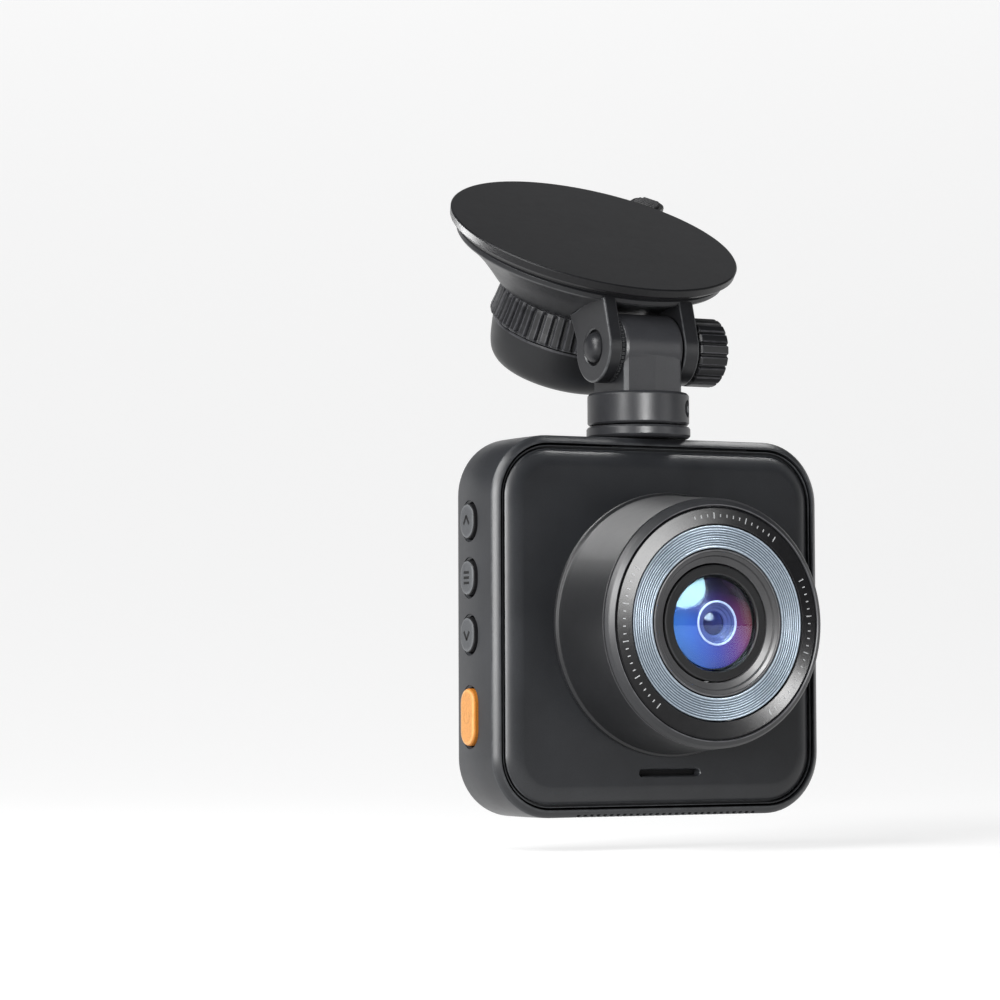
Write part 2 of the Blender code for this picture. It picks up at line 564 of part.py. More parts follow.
finish("twist_ring", ring_bm([
    (RING_R0, -13.9), (RING_R0 + 0.4, -14.4), (RING_R1, -20.5), (RING_R1 - 0.5, -21.0),
    (13.4, -21.0), (13.4, -13.9)], CUP, RING_FLUTES * 2, radius_fn=knurl), "grip_plastic", HOLD)
finish("ring_cap", ring_bm([
    (0, -32.0), (10.5, -31.7), (14.0, -30.8), (15.7, -29.2), (16.5, -26.6), (16.9, -21.3),
    (14.6, -21.3), (14.2, -27.2), (12.6, -29.2), (0, -29.8)], CUP, 36, closed=False),
    "grip_plastic", HOLD)

# ========================================================= tilt clamp pieces
finish("pivot_bolt", ring_bm([
    (0, -12.0), (1.7, -11.75), (2.8, -11.0), (3.15, -10.3), (3.15, -9.6), (1.9, -9.6), (1.9, 13.9),
    (1.5, 14.4), (0, 14.4)], PIVOT, 24, closed=False), "black_steel", PIV)


def teeth(r, h, k):
    return r if r < 6 or k % 2 == 0 else r - 0.45


finish("detent_ring", ring_bm([(7.1, -7.6), (7.1, -7.0), (4.0, -7.0), (4.0, -7.6)], PIVOT, 36,
                              radius_fn=teeth), "mount_plastic", PIV)
finish("clamp_washer", ring_bm([(4.9, 9.9), (4.9, 10.6), (2.2, 10.6), (2.2, 9.9)], PIVOT, 24),
       "steel", PIV)


def flutes(r, h, k):
    return r - 0.85 if (r > 6.2 and k % 4 >= 2) else r


KNOB = (13.8, MOUNT_Y, PIVOT_Z)
finish("thumb_nut", ring_bm([
    (0, KNOB_X1), (KNOB_R - 0.6, KNOB_X1), (KNOB_R, KNOB_X1 - 0.5), (KNOB_R, KNOB_X0 + 0.4),
    (KNOB_R - 0.4, KNOB_X0), (4.3, KNOB_X0), (4.3, 15.0), (0, 15.0)],
    PIVOT, KNOB_FLUTES * 4, closed=False, radius_fn=flutes), "grip_plastic", KNOB)
finish("nut_insert", ring_bm([(3.9, 11.3), (3.9, 14.7), (2.2, 14.7), (2.2, 11.3)], PIVOT, 6),
       "brass", KNOB, smooth=False)
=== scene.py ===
import math

import bmesh
import bpy
from mathutils import Matrix, Vector


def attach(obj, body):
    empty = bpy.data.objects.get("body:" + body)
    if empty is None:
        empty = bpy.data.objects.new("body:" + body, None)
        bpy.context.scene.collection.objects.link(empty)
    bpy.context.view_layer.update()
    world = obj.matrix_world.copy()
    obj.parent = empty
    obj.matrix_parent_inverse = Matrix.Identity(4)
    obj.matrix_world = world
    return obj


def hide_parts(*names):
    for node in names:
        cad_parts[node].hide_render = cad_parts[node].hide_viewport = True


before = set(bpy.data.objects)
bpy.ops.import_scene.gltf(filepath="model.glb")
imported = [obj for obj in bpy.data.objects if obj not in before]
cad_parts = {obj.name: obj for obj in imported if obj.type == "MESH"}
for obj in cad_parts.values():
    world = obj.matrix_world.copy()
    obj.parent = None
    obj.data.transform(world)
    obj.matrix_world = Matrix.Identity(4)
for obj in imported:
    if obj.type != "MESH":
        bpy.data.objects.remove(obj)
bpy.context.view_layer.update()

COL = bpy.context.scene.collection

# --------------------------------------------------------------------------
# drawing frame: millimetres about the middle of the camera body
FACE = (0.0, 18.33, 82.87)
TILT = math.radians(28.47)
MY = 0.23
LX, LZ = 1.4, 0.35


def basis(origin, ax, ay, az):
    m = Matrix.Identity(4)
    for i, a in enumerate((ax, ay, az)):
        for r in range(3):
            m[r][i] = a[r]
    for r in range(3):
        m[r][3] = origin[r]
    return m


BODY = basis((0, 0, 0), (1, 0, 0), (0, 1, 0), (0, 0, 1))
LENS = basis((LX, 0, LZ), (1, 0, 0), (0, 0, 1), (0, -1, 0))
PIVOT = basis((0, MY, 56.8), (0, 1, 0), (0, 0, 1), (1, 0, 0))
SWIVEL = basis((0, MY, 0), (1, 0, 0), (0, 1, 0), (0, 0, 1))
CUP = basis(FACE, (1, 0, 0), (0, math.cos(TILT), math.sin(TILT)), (0, -math.sin(TILT), math.cos(TILT)))
SIDE = basis((0, 0, 0), (0, 1, 0), (0, 0, 1), (1, 0, 0))
PLAN = basis((0, 0, 0), (1, 0, 0), (0, 0, 1), (0, -1, 0))
TO_WORLD = Matrix.Scale(0.001, 4) @ Matrix.Translation([-c for c in FACE])


# --------------------------------------------------------------------------
# materials
def node(nt, kind, **kw):
    n = nt.nodes.new(kind)
    for k, v in kw.items():
        setattr(n, k, v)
    return n


def new_mat(name):
    m = bpy.data.materials.new(name)
    m.use_nodes = True
    nt = m.node_tree
    p = nt.nodes["Principled BSDF"]
    tc = node(nt, "ShaderNodeTexCoord")
    return m, nt, p, tc.outputs["Object"]


def noise(nt, vec, scale, detail=2.0, rough=0.5, dist=0.0):
    n = node(nt, "ShaderNodeTexNoise")
    n.inputs["Scale"].default_value = scale
    n.inputs["Detail"].default_value = detail
    n.inputs["Roughness"].default_value = rough
    n.inputs["Distortion"].default_value = dist
    nt.links.new(vec, n.inputs["Vector"])
    return n.outputs["Fac"]


def mapped(nt, vec, scale=(1, 1, 1), loc=(0, 0, 0), rot=(0, 0, 0)):
    n = node(nt, "ShaderNodeMapping")
    n.inputs["Scale"].default_value = scale
    n.inputs["Location"].default_value = loc
    n.inputs["Rotation"].default_value = rot
    nt.links.new(vec, n.inputs["Vector"])
    return n.outputs["Vector"]


def rng(nt, val, a, b, c, d, clamp=True):
    n = node(nt, "ShaderNodeMapRange", clamp=clamp)
    for k, v in zip(("From Min", "From Max", "To Min", "To Max"), (a, b, c, d)):
        n.inputs[k].default_value = v
    nt.links.new(val, n.inputs["Value"])
    return n.outputs["Result"]


def mix(nt, fac, a, b, kind="MIX"):
    n = node(nt, "ShaderNodeMix", data_type="RGBA", blend_type=kind)
    ins = {s.identifier: s for s in n.inputs}
    for key, v in (("Factor_Float", fac), ("A_Color", a), ("B_Color", b)):
        if isinstance(v, (int, float)):
            ins[key].default_value = v
        elif isinstance(v, (tuple, list)):
            ins[key].default_value = (*v[:3], 1.0)
        else:
            nt.links.new(v, ins[key])
    return [o for o in n.outputs if o.identifier == "Result_Color"][0]


def maths(nt, op, a, b=None, c=None, clamp=False):
    n = node(nt, "ShaderNodeMath", operation=op, use_clamp=clamp)
    for i, v in enumerate((a, b, c)):
        if v is None:
            continue
        if isinstance(v, (int, float)):
            n.inputs[i].default_value = v
        else:
            nt.links.new(v, n.inputs[i])
    return n.outputs[0]


def ramp(nt, val, stops, interp="LINEAR"):
    n = node(nt, "ShaderNodeValToRGB")
    cr = n.color_ramp
    cr.interpolation = interp
    while len(cr.elements) > 1:
        cr.elements.remove(cr.elements[-1])
    cr.elements[0].position = stops[0][0]
    cr.elements[0].color = (*stops[0][1], 1)
    for pos, col in stops[1:]:
        e = cr.elements.new(pos)
        e.color = (*col, 1)
    nt.links.new(val, n.inputs["Fac"])
    return n.outputs["Color"]


def bump(nt, heights, principled):
    """Chain of bumps: heights = [(socket, strength, distance in metres)]."""
    last = None
    for h, s, d in heights:
        b = node(nt, "ShaderNodeBump")
        b.inputs["Strength"].default_value = s
        b.inputs["Distance"].default_value = d
        nt.links.new(h, b.inputs["Height"])
        if last is not None:
            nt.links.new(last, b.inputs["Normal"])
        last = b.outputs["Normal"]
    nt.links.new(last, principled.inputs["Normal"])


def plastic(name, base, rough, grain=0.16, height=0.020, vary=0.18, edge=None, edge_amt=0.5,
            spec=0.32, coat=0.0, coat_rough=0.2, rvar=0.04, metal=0.0, scratch=0.5):
    """Moulded or coated surface: fine spark-eroded grain, cloudy tone, smudges, hairlines, and lighter edges that are
    partly wear and partly painted highlight.
    """
    m, nt, p, vec = new_mat(name)
    fine = noise(nt, vec, 1000.0 / grain, 2.0, 0.6)
    cloud = noise(nt, vec, 70.0, 3.0, 0.55)
    smudge = noise(nt, vec, 420.0, 4.0, 0.6, 0.6)
    dark = [c * (1 - vary) for c in base]
    light = [min(1.0, c * (1 + vary)) for c in base]
    tone = mix(nt, rng(nt, cloud, 0.3, 0.7, 0, 1), dark, light)
    speck = mix(nt, rng(nt, fine, 0.35, 0.65, 0, 1), (0.86, 0.86, 0.86), (1.14, 1.14, 1.14))
    tone = mix(nt, 1.0, tone, speck, "MULTIPLY")
    if edge is None:
        edge = [min(1.0, c * 2.2 + 0.015) for c in base]
    # lighter edges: partly wear, partly a painted highlight on the bevels
    at = node(nt, "ShaderNodeAttribute", attribute_name="edge_wear_and_highlight")
    wear_and_highlight = maths(nt, "MULTIPLY", at.outputs["Fac"], rng(nt, smudge, 0.3, 0.62, 0.25, 1.0))
    wear_and_highlight = maths(nt, "MULTIPLY", wear_and_highlight, edge_amt)
    nt.links.new(mix(nt, wear_and_highlight, tone, edge), p.inputs["Base Color"])
    hair = noise(nt, mapped(nt, vec, (60, 60, 5200), rot=(0.5, 0.3, 0.2)), 1.0, 2.0, 0.5)
    hair = rng(nt, hair, 0.66, 0.72, 0.0, 1.0)
    r = rng(nt, smudge, 0.15, 0.85, rough - rvar, rough + rvar)
    r = maths(nt, "SUBTRACT", r, maths(nt, "MULTIPLY", wear_and_highlight, 0.10))
    r = maths(nt, "ADD", r, maths(nt, "MULTIPLY", hair, 0.05 * scratch), clamp=True)
    nt.links.new(r, p.inputs["Roughness"])
    bump(nt, [(fine, 0.55, height * 0.001), (cloud, 0.20, 0.00003)], p)
    p.inputs["Metallic"].default_value = metal
    p.inputs["Specular IOR Level"].default_value = spec
    if coat:
        p.inputs["Coat Weight"].default_value = coat
        p.inputs["Coat Roughness"].default_value = coat_rough
    m.diffuse_color = (*base, 1)
    return m


def metal(name, base, rough, turned=None, scale=1600.0, edge_amt=0.4, vary=0.10, metallic=1.0):
    """Machined metal: fine directional lines round `turned` (axis index) or along it, plus tarnish."""
    m, nt, p, vec = new_mat(name)
    lines = noise(nt, mapped(nt, vec, (1, 1, 14) if turned is None else turned), scale, 3.0, 0.6)
    cloud = noise(nt, vec, 160.0, 4.0, 0.6)
    dark = [c * (1 - vary) for c in base]
    light = [min(1, c * (1 + vary)) for c in base]
    tone = mix(nt, rng(nt, cloud, 0.3, 0.7, 0, 1), dark, light)
    # lighter edges: partly wear, partly a painted highlight on the bevels
    at = node(nt, "ShaderNodeAttribute", attribute_name="edge_wear_and_highlight")
    wear_and_highlight = maths(nt, "MULTIPLY", at.outputs["Fac"], edge_amt)
    nt.links.new(mix(nt, wear_and_highlight, tone, [min(1, c * 1.5 + 0.05) for c in base]), p.inputs["Base Color"])
    nt.links.new(rng(nt, lines, 0.3, 0.7, rough - 0.08, rough + 0.10), p.inputs["Roughness"])
    bump(nt, [(lines, 0.25, 0.000006)], p)
    p.inputs["Metallic"].default_value = metallic
    m.diffuse_color = (*base, 1)
    return m


MAT = {
    "housing_plastic": plastic("satin_charcoal", (0.0165, 0.0174, 0.0195), 0.34, grain=0.20, height=0.020,
                               edge=(0.10, 0.105, 0.11), edge_amt=0.35, spec=0.42, scratch=0.05),
    "barrel_plastic": plastic("satin_barrel", (0.0135, 0.0139, 0.0152), 0.40, grain=0.22, height=0.012,
                              edge=(0.16, 0.16, 0.17), edge_amt=0.45, spec=0.42, scratch=0.05),
    "gloss_black": plastic("piano_black", (0.0040, 0.0040, 0.0045), 0.19, grain=0.8, height=0.0006,
                           rvar=0.02, edge=(0.04, 0.04, 0.045), edge_amt=0.4, spec=0.20),
    "lens_black": plastic("matt_lens_black", (0.026, 0.026, 0.027), 0.34, grain=0.16, height=0.010,
                          edge=(0.20, 0.20, 0.21), edge_amt=0.6),
    "button_grey": plastic("button_grey", (0.072, 0.075, 0.080), 0.45, grain=0.18, height=0.022,
                           edge=(0.24, 0.25, 0.26), edge_amt=0.4),
    "power_orange": plastic("power_orange", (0.55, 0.25, 0.075), 0.42, grain=0.26, height=0.03, vary=0.10,
                            edge=(1.0, 0.62, 0.25), edge_amt=0.55),
    "mount_plastic": plastic("mount_plastic", (0.0160, 0.0164, 0.0182), 0.34, grain=0.20, height=0.026,
                             edge=(0.14, 0.145, 0.15), edge_amt=0.55),
    "cup_rubber": plastic("cup_rubber", (0.0105, 0.0105, 0.0115), 0.36, grain=0.45, height=0.005, vary=0.10,
                          rvar=0.02, spec=0.26, edge=(0.05, 0.05, 0.055), edge_amt=0.3),
    "grip_plastic": plastic("grip_plastic", (0.0110, 0.0113, 0.0125), 0.38, grain=0.20, height=0.022,
                            edge=(0.10, 0.10, 0.11), edge_amt=0.6),
    "chip_black": plastic("chip_black", (0.018, 0.018, 0.019), 0.5, grain=0.08, height=0.01),
    "pad_grey": plastic("pad_grey", (0.40, 0.41, 0.43), 0.8, grain=0.3, height=0.03),
    "steel": metal("bright_steel", (0.56, 0.56, 0.57), 0.28),
    "black_steel": metal("blackened_steel", (0.055, 0.056, 0.06), 0.26, (1, 1, 1), 3000.0, edge_amt=0.3),
    "brass": metal("brass", (0.70, 0.50, 0.20), 0.30),
    "cell_silver": metal("foil_silver", (0.56, 0.57, 0.59), 0.36, (1, 1, 1), 900.0),
}


def board_material():
    m, nt, p, vec = new_mat("board_green")
    tracks = node(nt, "ShaderNodeTexVoronoi", feature="DISTANCE_TO_EDGE", distance="CHEBYCHEV")
    tracks.inputs["Scale"].default_value = 520.0
    nt.links.new(vec, tracks.inputs["Vector"])
    line = rng(nt, tracks.outputs["Distance"], 0.03, 0.06, 1.0, 0.0)
    base = mix(nt, noise(nt, vec, 240.0, 3), (0.006, 0.070, 0.028), (0.014, 0.110, 0.045))
    nt.links.new(mix(nt, line, base, (0.03, 0.20, 0.09)), p.inputs["Base Color"])
    nt.links.new(rng(nt, noise(nt, vec, 900, 3), 0.3, 0.7, 0.32, 0.5), p.inputs["Roughness"])
    bump(nt, [(line, 0.4, 0.00003)], p)
    return m


def glass_material(name, tint, rough=0.0, ior=1.48, spec_tint=(1, 1, 1), level=0.5, dust=0.03):
    m, nt, p, vec = new_mat(name)
    film = noise(nt, vec, 260.0, 4, 0.6, 0.4)
    nt.links.new(mix(nt, rng(nt, film, 0.3, 0.7, 0, 1), [c * 0.97 for c in tint], tint), p.inputs["Base Color"])
    nt.links.new(rng(nt, film, 0.35, 0.75, rough, rough + dust), p.inputs["Roughness"])
    p.inputs["Transmission Weight"].default_value = 1.0
    p.inputs["IOR"].default_value = ior
    p.inputs["Specular IOR Level"].default_value = level
    p.inputs["Specular Tint"].default_value = (*spec_tint, 1)
    m.diffuse_color = (*tint, 1)
    return m


def painted_reflection_coating_material():
    """Multi-coated element with painted reflection: blue low on the left, violet, red-brown on the right, painted shade
    to black at the top right, and the same colours glow weakly.
    """
    m, nt, p, vec = new_mat("lens_coating_painted_reflection")
    sep = node(nt, "ShaderNodeSeparateXYZ")
    c = TO_WORLD @ Vector((LX, 0, LZ))
    nt.links.new(mapped(nt, vec, (100, 100, 100), (-c.x * 100, 0, -c.z * 100)), sep.inputs[0])
    x, z = sep.outputs["X"], sep.outputs["Z"]          # centimetres from the lens axis
    grain = noise(nt, vec, 2600.0, 2, 0.6)
    wob = maths(nt, "MULTIPLY", maths(nt, "SUBTRACT", grain, 0.5), 0.10)
    ax = maths(nt, "ADD", maths(nt, "MULTIPLY", x, 0.80), maths(nt, "MULTIPLY", z, 0.28))
    ax = maths(nt, "ADD", ax, wob)
    # painted reflection: the colour runs from blue on the left to red-brown on the right
    reflection_hue = ramp(nt, rng(nt, ax, -0.85, 0.90, 0, 1), [
        (0.00, (0.030, 0.105, 0.30)), (0.22, (0.025, 0.070, 0.29)), (0.42, (0.028, 0.032, 0.22)),
        (0.60, (0.075, 0.020, 0.17)), (0.78, (0.17, 0.028, 0.11)), (0.90, (0.25, 0.050, 0.040)),
        (1.0, (0.16, 0.030, 0.02))])
    # painted shade: the colour darkens to black towards the top right
    up = maths(nt, "ADD", maths(nt, "MULTIPLY", z, 0.95), maths(nt, "MULTIPLY", x, 0.22))
    painted_top_shade = rng(nt, up, -0.35, 0.62, 1.0, 0.045)
    col = mix(nt, painted_top_shade, (0.004, 0.005, 0.008), reflection_hue)
    nt.links.new(col, p.inputs["Base Color"])
    # painted glow: the painted reflection colours are also emitted
    nt.links.new(col, p.inputs["Emission Color"])
    p.inputs["Emission Strength"].default_value = 0.20
    nt.links.new(rng(nt, grain, 0.3, 0.7, 0.14, 0.24), p.inputs["Roughness"])
    p.inputs["Metallic"].default_value = 0.0
    p.inputs["Specular IOR Level"].default_value = 0.2
    p.inputs["Coat Weight"].default_value = 0.10
    p.inputs["Coat Roughness"].default_value = 0.03
    m.diffuse_color = (0.05, 0.06, 0.25, 1)
    return m


def glowing_pupil_material(name, col, emit, rough=0.2):
    # painted glow: these inner lens parts emit their own colour though they are no lamp
    m, nt, p, vec = new_mat(name)
    g = noise(nt, vec, 1800.0, 2)
    c = mix(nt, g, [v * 0.8 for v in col], [v * 1.2 for v in col])
    nt.links.new(c, p.inputs["Base Color"])
    nt.links.new(c, p.inputs["Emission Color"])
    p.inputs["Emission Strength"].default_value = emit
    nt.links.new(rng(nt, g, 0.3, 0.7, rough - 0.05, rough + 0.05), p.inputs["Roughness"])
    m.diffuse_color = (*col, 1)
    return m


SCREEN_W, SCREEN_H, SCREEN_Z = 55.1, 45.5, -0.45


def screen_material():
    """Switched-on display: an open road under a blue sky, drawn from gradients and noise."""
    m, nt, p, vec = new_mat("screen_picture")
    lo = TO_WORLD @ Vector((SCREEN_W / 2, 0, SCREEN_Z - SCREEN_H / 2))
    sep = node(nt, "ShaderNodeSeparateXYZ")
    nt.links.new(mapped(nt, vec, (-1000 / SCREEN_W, 1, 1000 / SCREEN_H),
                        (lo.x * 1000 / SCREEN_W, 0, -lo.z * 1000 / SCREEN_H)), sep.inputs[0])
    u, v = sep.outputs["X"], sep.outputs["Z"]
    hz = 0.555
    # sky with long thin clouds
    sky = ramp(nt, rng(nt, v, hz, 1.0, 0, 1), [
        (0.0, (0.80, 0.66, 0.48)), (0.14, (0.72, 0.78, 0.80)), (0.42, (0.30, 0.53, 0.80)),
        (0.75, (0.07, 0.25, 0.62)), (1.0, (0.025, 0.13, 0.44))])
    comb = node(nt, "ShaderNodeCombineXYZ")
    nt.links.new(u, comb.inputs[0])
    nt.links.new(v, comb.inputs[1])
    uv = comb.outputs[0]
    cl = noise(nt, mapped(nt, uv, (3.2, 9.0, 1), rot=(0, 0, 0.32)), 1.0, 8.0, 0.62, 0.7)
    cl2 = noise(nt, mapped(nt, uv, (1.6, 14.0, 1), rot=(0, 0, -0.2)), 1.0, 6.0, 0.6, 0.4)
    cloud = maths(nt, "MAXIMUM", rng(nt, cl, 0.47, 0.68, 0, 0.9), rng(nt, cl2, 0.52, 0.74, 0, 0.8))
    sky = mix(nt, cloud, sky, (0.86, 0.88, 0.90))
    # hills on the left of the horizon
    ridge = noise(nt, mapped(nt, uv, (7.0, 0.0, 1)), 1.0, 6.0, 0.6)
    hump = ramp(nt, u, [(0.0, (0.75, 0.75, 0.75)), (0.12, (1, 1, 1)), (0.30, (0.62, 0.62, 0.62)),
                        (0.45, (0.85, 0.85, 0.85)), (0.52, (0.25, 0.25, 0.25)), (0.60, (0.0, 0.0, 0.0))])
    top = maths(nt, "ADD", hz, maths(nt, "MULTIPLY", maths(nt, "MULTIPLY", ridge, hump), 0.20))
    hill = rng(nt, maths(nt, "SUBTRACT", top, v), 0.0, 0.006, 0, 1)
    rock = mix(nt, rng(nt, noise(nt, mapped(nt, uv, (22, 46, 1)), 1.0, 6, 0.7), 0.3, 0.7, 0, 1),
               (0.045, 0.030, 0.022), (0.30, 0.19, 0.11))
    col = mix(nt, hill, sky, rock)
    # dry fields
    depth = maths(nt, "SUBTRACT", hz, v)
    grassn = noise(nt, mapped(nt, uv, (9, 60, 1)), 1.0, 7, 0.7)
    grass = mix(nt, rng(nt, grassn, 0.3, 0.7, 0, 1), (0.17, 0.075, 0.018), (0.76, 0.44, 0.12))
    grass = mix(nt, rng(nt, depth, 0.0, 0.05, 0.65, 0.0), grass, (0.62, 0.33, 0.10))
    below = rng(nt, depth, 0.0, 0.004, 0, 1)
    col = mix(nt, below, col, grass)
    # road towards the horizon point
    vx = 0.655
    side = maths(nt, "DIVIDE", maths(nt, "SUBTRACT", u, vx), maths(nt, "MAXIMUM", depth, 0.002))
    aside = maths(nt, "ABSOLUTE", side)
    tar_n = noise(nt, mapped(nt, uv, (120, 260, 1)), 1.0, 4, 0.7)
    tar = mix(nt, rng(nt, tar_n, 0.3, 0.7, 0, 1), (0.055, 0.055, 0.062), (0.17, 0.165, 0.17))
    road = rng(nt, aside, 1.56, 1.60, 1, 0)
    road = maths(nt, "MULTIPLY", road, below)
    col = mix(nt, road, col, tar)
    edge = maths(nt, "MULTIPLY", rng(nt, aside, 1.33, 1.35, 0, 1), rng(nt, aside, 1.41, 1.43, 1, 0))
    dash = maths(nt, "FRACT", maths(nt, "DIVIDE", 0.30, maths(nt, "MAXIMUM", depth, 0.004)))
    centre = maths(nt, "MULTIPLY", rng(nt, aside, 0.018, 0.030, 1, 0), rng(nt, dash, 0.42, 0.50, 1, 0))
    paint = maths(nt, "MULTIPLY", maths(nt, "MAXIMUM", edge, centre), below)
    col = mix(nt, paint, col, (0.80, 0.79, 0.74))
    # pixel rows
    rows = maths(nt, "SINE", maths(nt, "MULTIPLY", v, 1500.0))
    col = mix(nt, rng(nt, rows, -1, 1, 0.0, 0.06), col, (0, 0, 0))
    nt.links.new(col, p.inputs["Emission Color"])
    nt.links.new(mix(nt, 0.9, col, (0, 0, 0)), p.inputs["Base Color"])
    p.inputs["Emission Strength"].default_value = 0.85
    nt.links.new(rng(nt, noise(nt, vec, 500, 4), 0.3, 0.7, 0.05, 0.09), p.inputs["Roughness"])
    m.diffuse_color = (0.3, 0.45, 0.7, 1)
    return m


GROOVES, GR0, GR1 = 8, 18.95, 15.1


def grooved_material():
    """Blue-grey anodised ring: painted shade darkens the concentric grooves, with fine turned lines between."""
    m, nt, p, vec = new_mat("grooved_alloy")
    c = TO_WORLD @ Vector((LX, 0, LZ))
    v2 = node(nt, "ShaderNodeVectorMath", operation="MULTIPLY")
    nt.links.new(mapped(nt, vec, (1000, 1000, 1000), (-c.x * 1000, 0, -c.z * 1000)), v2.inputs[0])
    v2.inputs[1].default_value = (1, 0, 1)
    ln = node(nt, "ShaderNodeVectorMath", operation="LENGTH")
    nt.links.new(v2.outputs[0], ln.inputs[0])
    r = ln.outputs["Value"]
    f = rng(nt, r, GR0, GR1, 0, GROOVES * 2 * math.pi)
    wave = maths(nt, "COSINE", f)
    # painted shade in the groove valleys
    groove_painted_shade = rng(nt, wave, 0.35, -0.75, 0.0, 1.0)
    fine = noise(nt, mapped(nt, vec, (1, 1, 1)), 1800.0, 3)
    turned = noise(nt, mapped(nt, v2.outputs[0], (0.001, 0.001, 0.001)), 1.0, 2)
    hairs = maths(nt, "SINE", maths(nt, "MULTIPLY", r, 95.0))
    base = mix(nt, rng(nt, fine, 0.3, 0.7, 0, 1), (0.30, 0.36, 0.42), (0.40, 0.465, 0.53))
    base = mix(nt, groove_painted_shade, base, (0.10, 0.125, 0.155))
    nt.links.new(base, p.inputs["Base Color"])
    nt.links.new(rng(nt, maths(nt, "ADD", fine, turned), 0.7, 1.3, 0.30, 0.42), p.inputs["Roughness"])
    bump(nt, [(hairs, 0.25, 0.000006), (fine, 0.2, 0.000004)], p)
    p.inputs["Metallic"].default_value = 0.6
    m.diffuse_color = (0.3, 0.35, 0.4, 1)
    return m


MAT["ring_metal"] = grooved_material()
MAT["board_green"] = board_material()
MAT["lens_glass"] = glass_material("front_glass", (0.97, 0.985, 1.0), 0.0, 1.34, (0.60, 0.88, 1.0), 0.42, 0.004)
MAT["filter_glass"] = glass_material("filter_glass", (0.35, 0.75, 0.78), 0.02)
MAT["screen_lit"] = screen_material()
MAT["screen_glass_gloss"] = plastic("screen_black_glass", (0.0035, 0.0035, 0.004), 0.055, grain=0.8, height=0.0006,
                                    rvar=0.02, edge=(0.10, 0.11, 0.12), edge_amt=0.6, spec=0.25, coat=0.3, coat_rough=0.02)
COATING_PAINTED_REFLECTION = painted_reflection_coating_material()
# pupil parts with a painted glow
PUPIL = glowing_pupil_material("pupil_navy_glow", (0.010, 0.012, 0.060), 0.55, 0.16)
PUPIL_RING = glowing_pupil_material("pupil_ring_glow", (0.30, 0.34, 0.52), 0.55, 0.25)
PUPIL_STEP = glowing_pupil_material("pupil_step_glow", (0.035, 0.045, 0.15), 0.5, 0.2)
INK = plastic("icon_ink", (0.003, 0.003, 0.0035), 0.5, grain=0.2, height=0.004, edge_amt=0.0)
ORANGE_INK = plastic("icon_orange", (0.50, 0.24, 0.08), 0.5, grain=0.2, height=0.006, edge_amt=0.0)
TICK = plastic("tick_white", (0.62, 0.63, 0.64), 0.45, grain=0.2, height=0.003, edge_amt=0.0)
# painted shade: darker copies of the button plastics for the button side walls
BUTTON_SIDE_PAINTED_SHADE = plastic("button_flank_painted_shade", (0.012, 0.012, 0.013), 0.40, grain=0.2, height=0.01, edge_amt=0.15)
ORANGE_SIDE_PAINTED_SHADE = plastic("orange_flank_painted_shade", (0.50, 0.17, 0.022), 0.42, grain=0.26, height=0.02, vary=0.1,
                      edge=(0.9, 0.45, 0.12), edge_amt=0.3)
# painted shade: near-black matte for the inside of the slot
SLOT_SHADE_BLACK = plastic("cavity_painted_shade", (0.004, 0.004, 0.0045), 0.7, grain=0.2, height=0.01, edge_amt=0.0)


# --------------------------------------------------------------------------
# mesh helpers (all input in drawing millimetres)
def fil(pts, closed=False, n=5):
    """Polyline with rounded corners; a point may carry a fillet radius as third value."""
    out, m = [], len(pts)
    for i, p in enumerate(pts):
        f = p[2] if len(p) > 2 else 0.0
        if f <= 0 or (not closed and i in (0, m - 1)):
            out.append((p[0], p[1]))
            continue
        a, b, c = Vector(pts[i - 1][:2]), Vector(p[:2]), Vector(pts[(i + 1) % m][:2])
        u, v = a - b, c - b
        lu, lv = u.length, v.length
        u.normalize()
        v.normalize()
        th = u.angle(v)
        if th > math.pi - 0.02:
            out.append((p[0], p[1]))
            continue
        d = min(f / math.tan(th / 2), lu * 0.49, lv * 0.49)
        rr = d * math.tan(th / 2)
        ctr = b + (u + v).normalized() * (rr / math.sin(th / 2))
        s, e = b + u * d - ctr, b + v * d - ctr
        a0, a1 = math.atan2(s.y, s.x), math.atan2(e.y, e.x)
        da = (a1 - a0 + math.pi) % (2 * math.pi) - math.pi
        for k in range(n + 1):
            t = a0 + da * k / n
            out.append((ctr.x + rr * math.cos(t), ctr.y + rr * math.sin(t)))
    return out


def curve_through(pts, n=5):
    """Smooth Catmull-Rom polyline through the points."""
    out = []
    m = len(pts)
    for i in range(m - 1):
        p0 = Vector(pts[max(i - 1, 0)])
        p1, p2 = Vector(pts[i]), Vector(pts[i + 1])
        p3 = Vector(pts[min(i + 2, m - 1)])
        for k in range(n):
            t = k / n
            q = 0.5 * ((2 * p1) + (p2 - p0) * t + (2 * p0 - 5 * p1 + 4 * p2 - p3) * t * t
                       + (3 * p1 - p0 - 3 * p2 + p3) * t * t * t)
            out.append((q.x, q.y))
    out.append(tuple(pts[-1]))
    return out


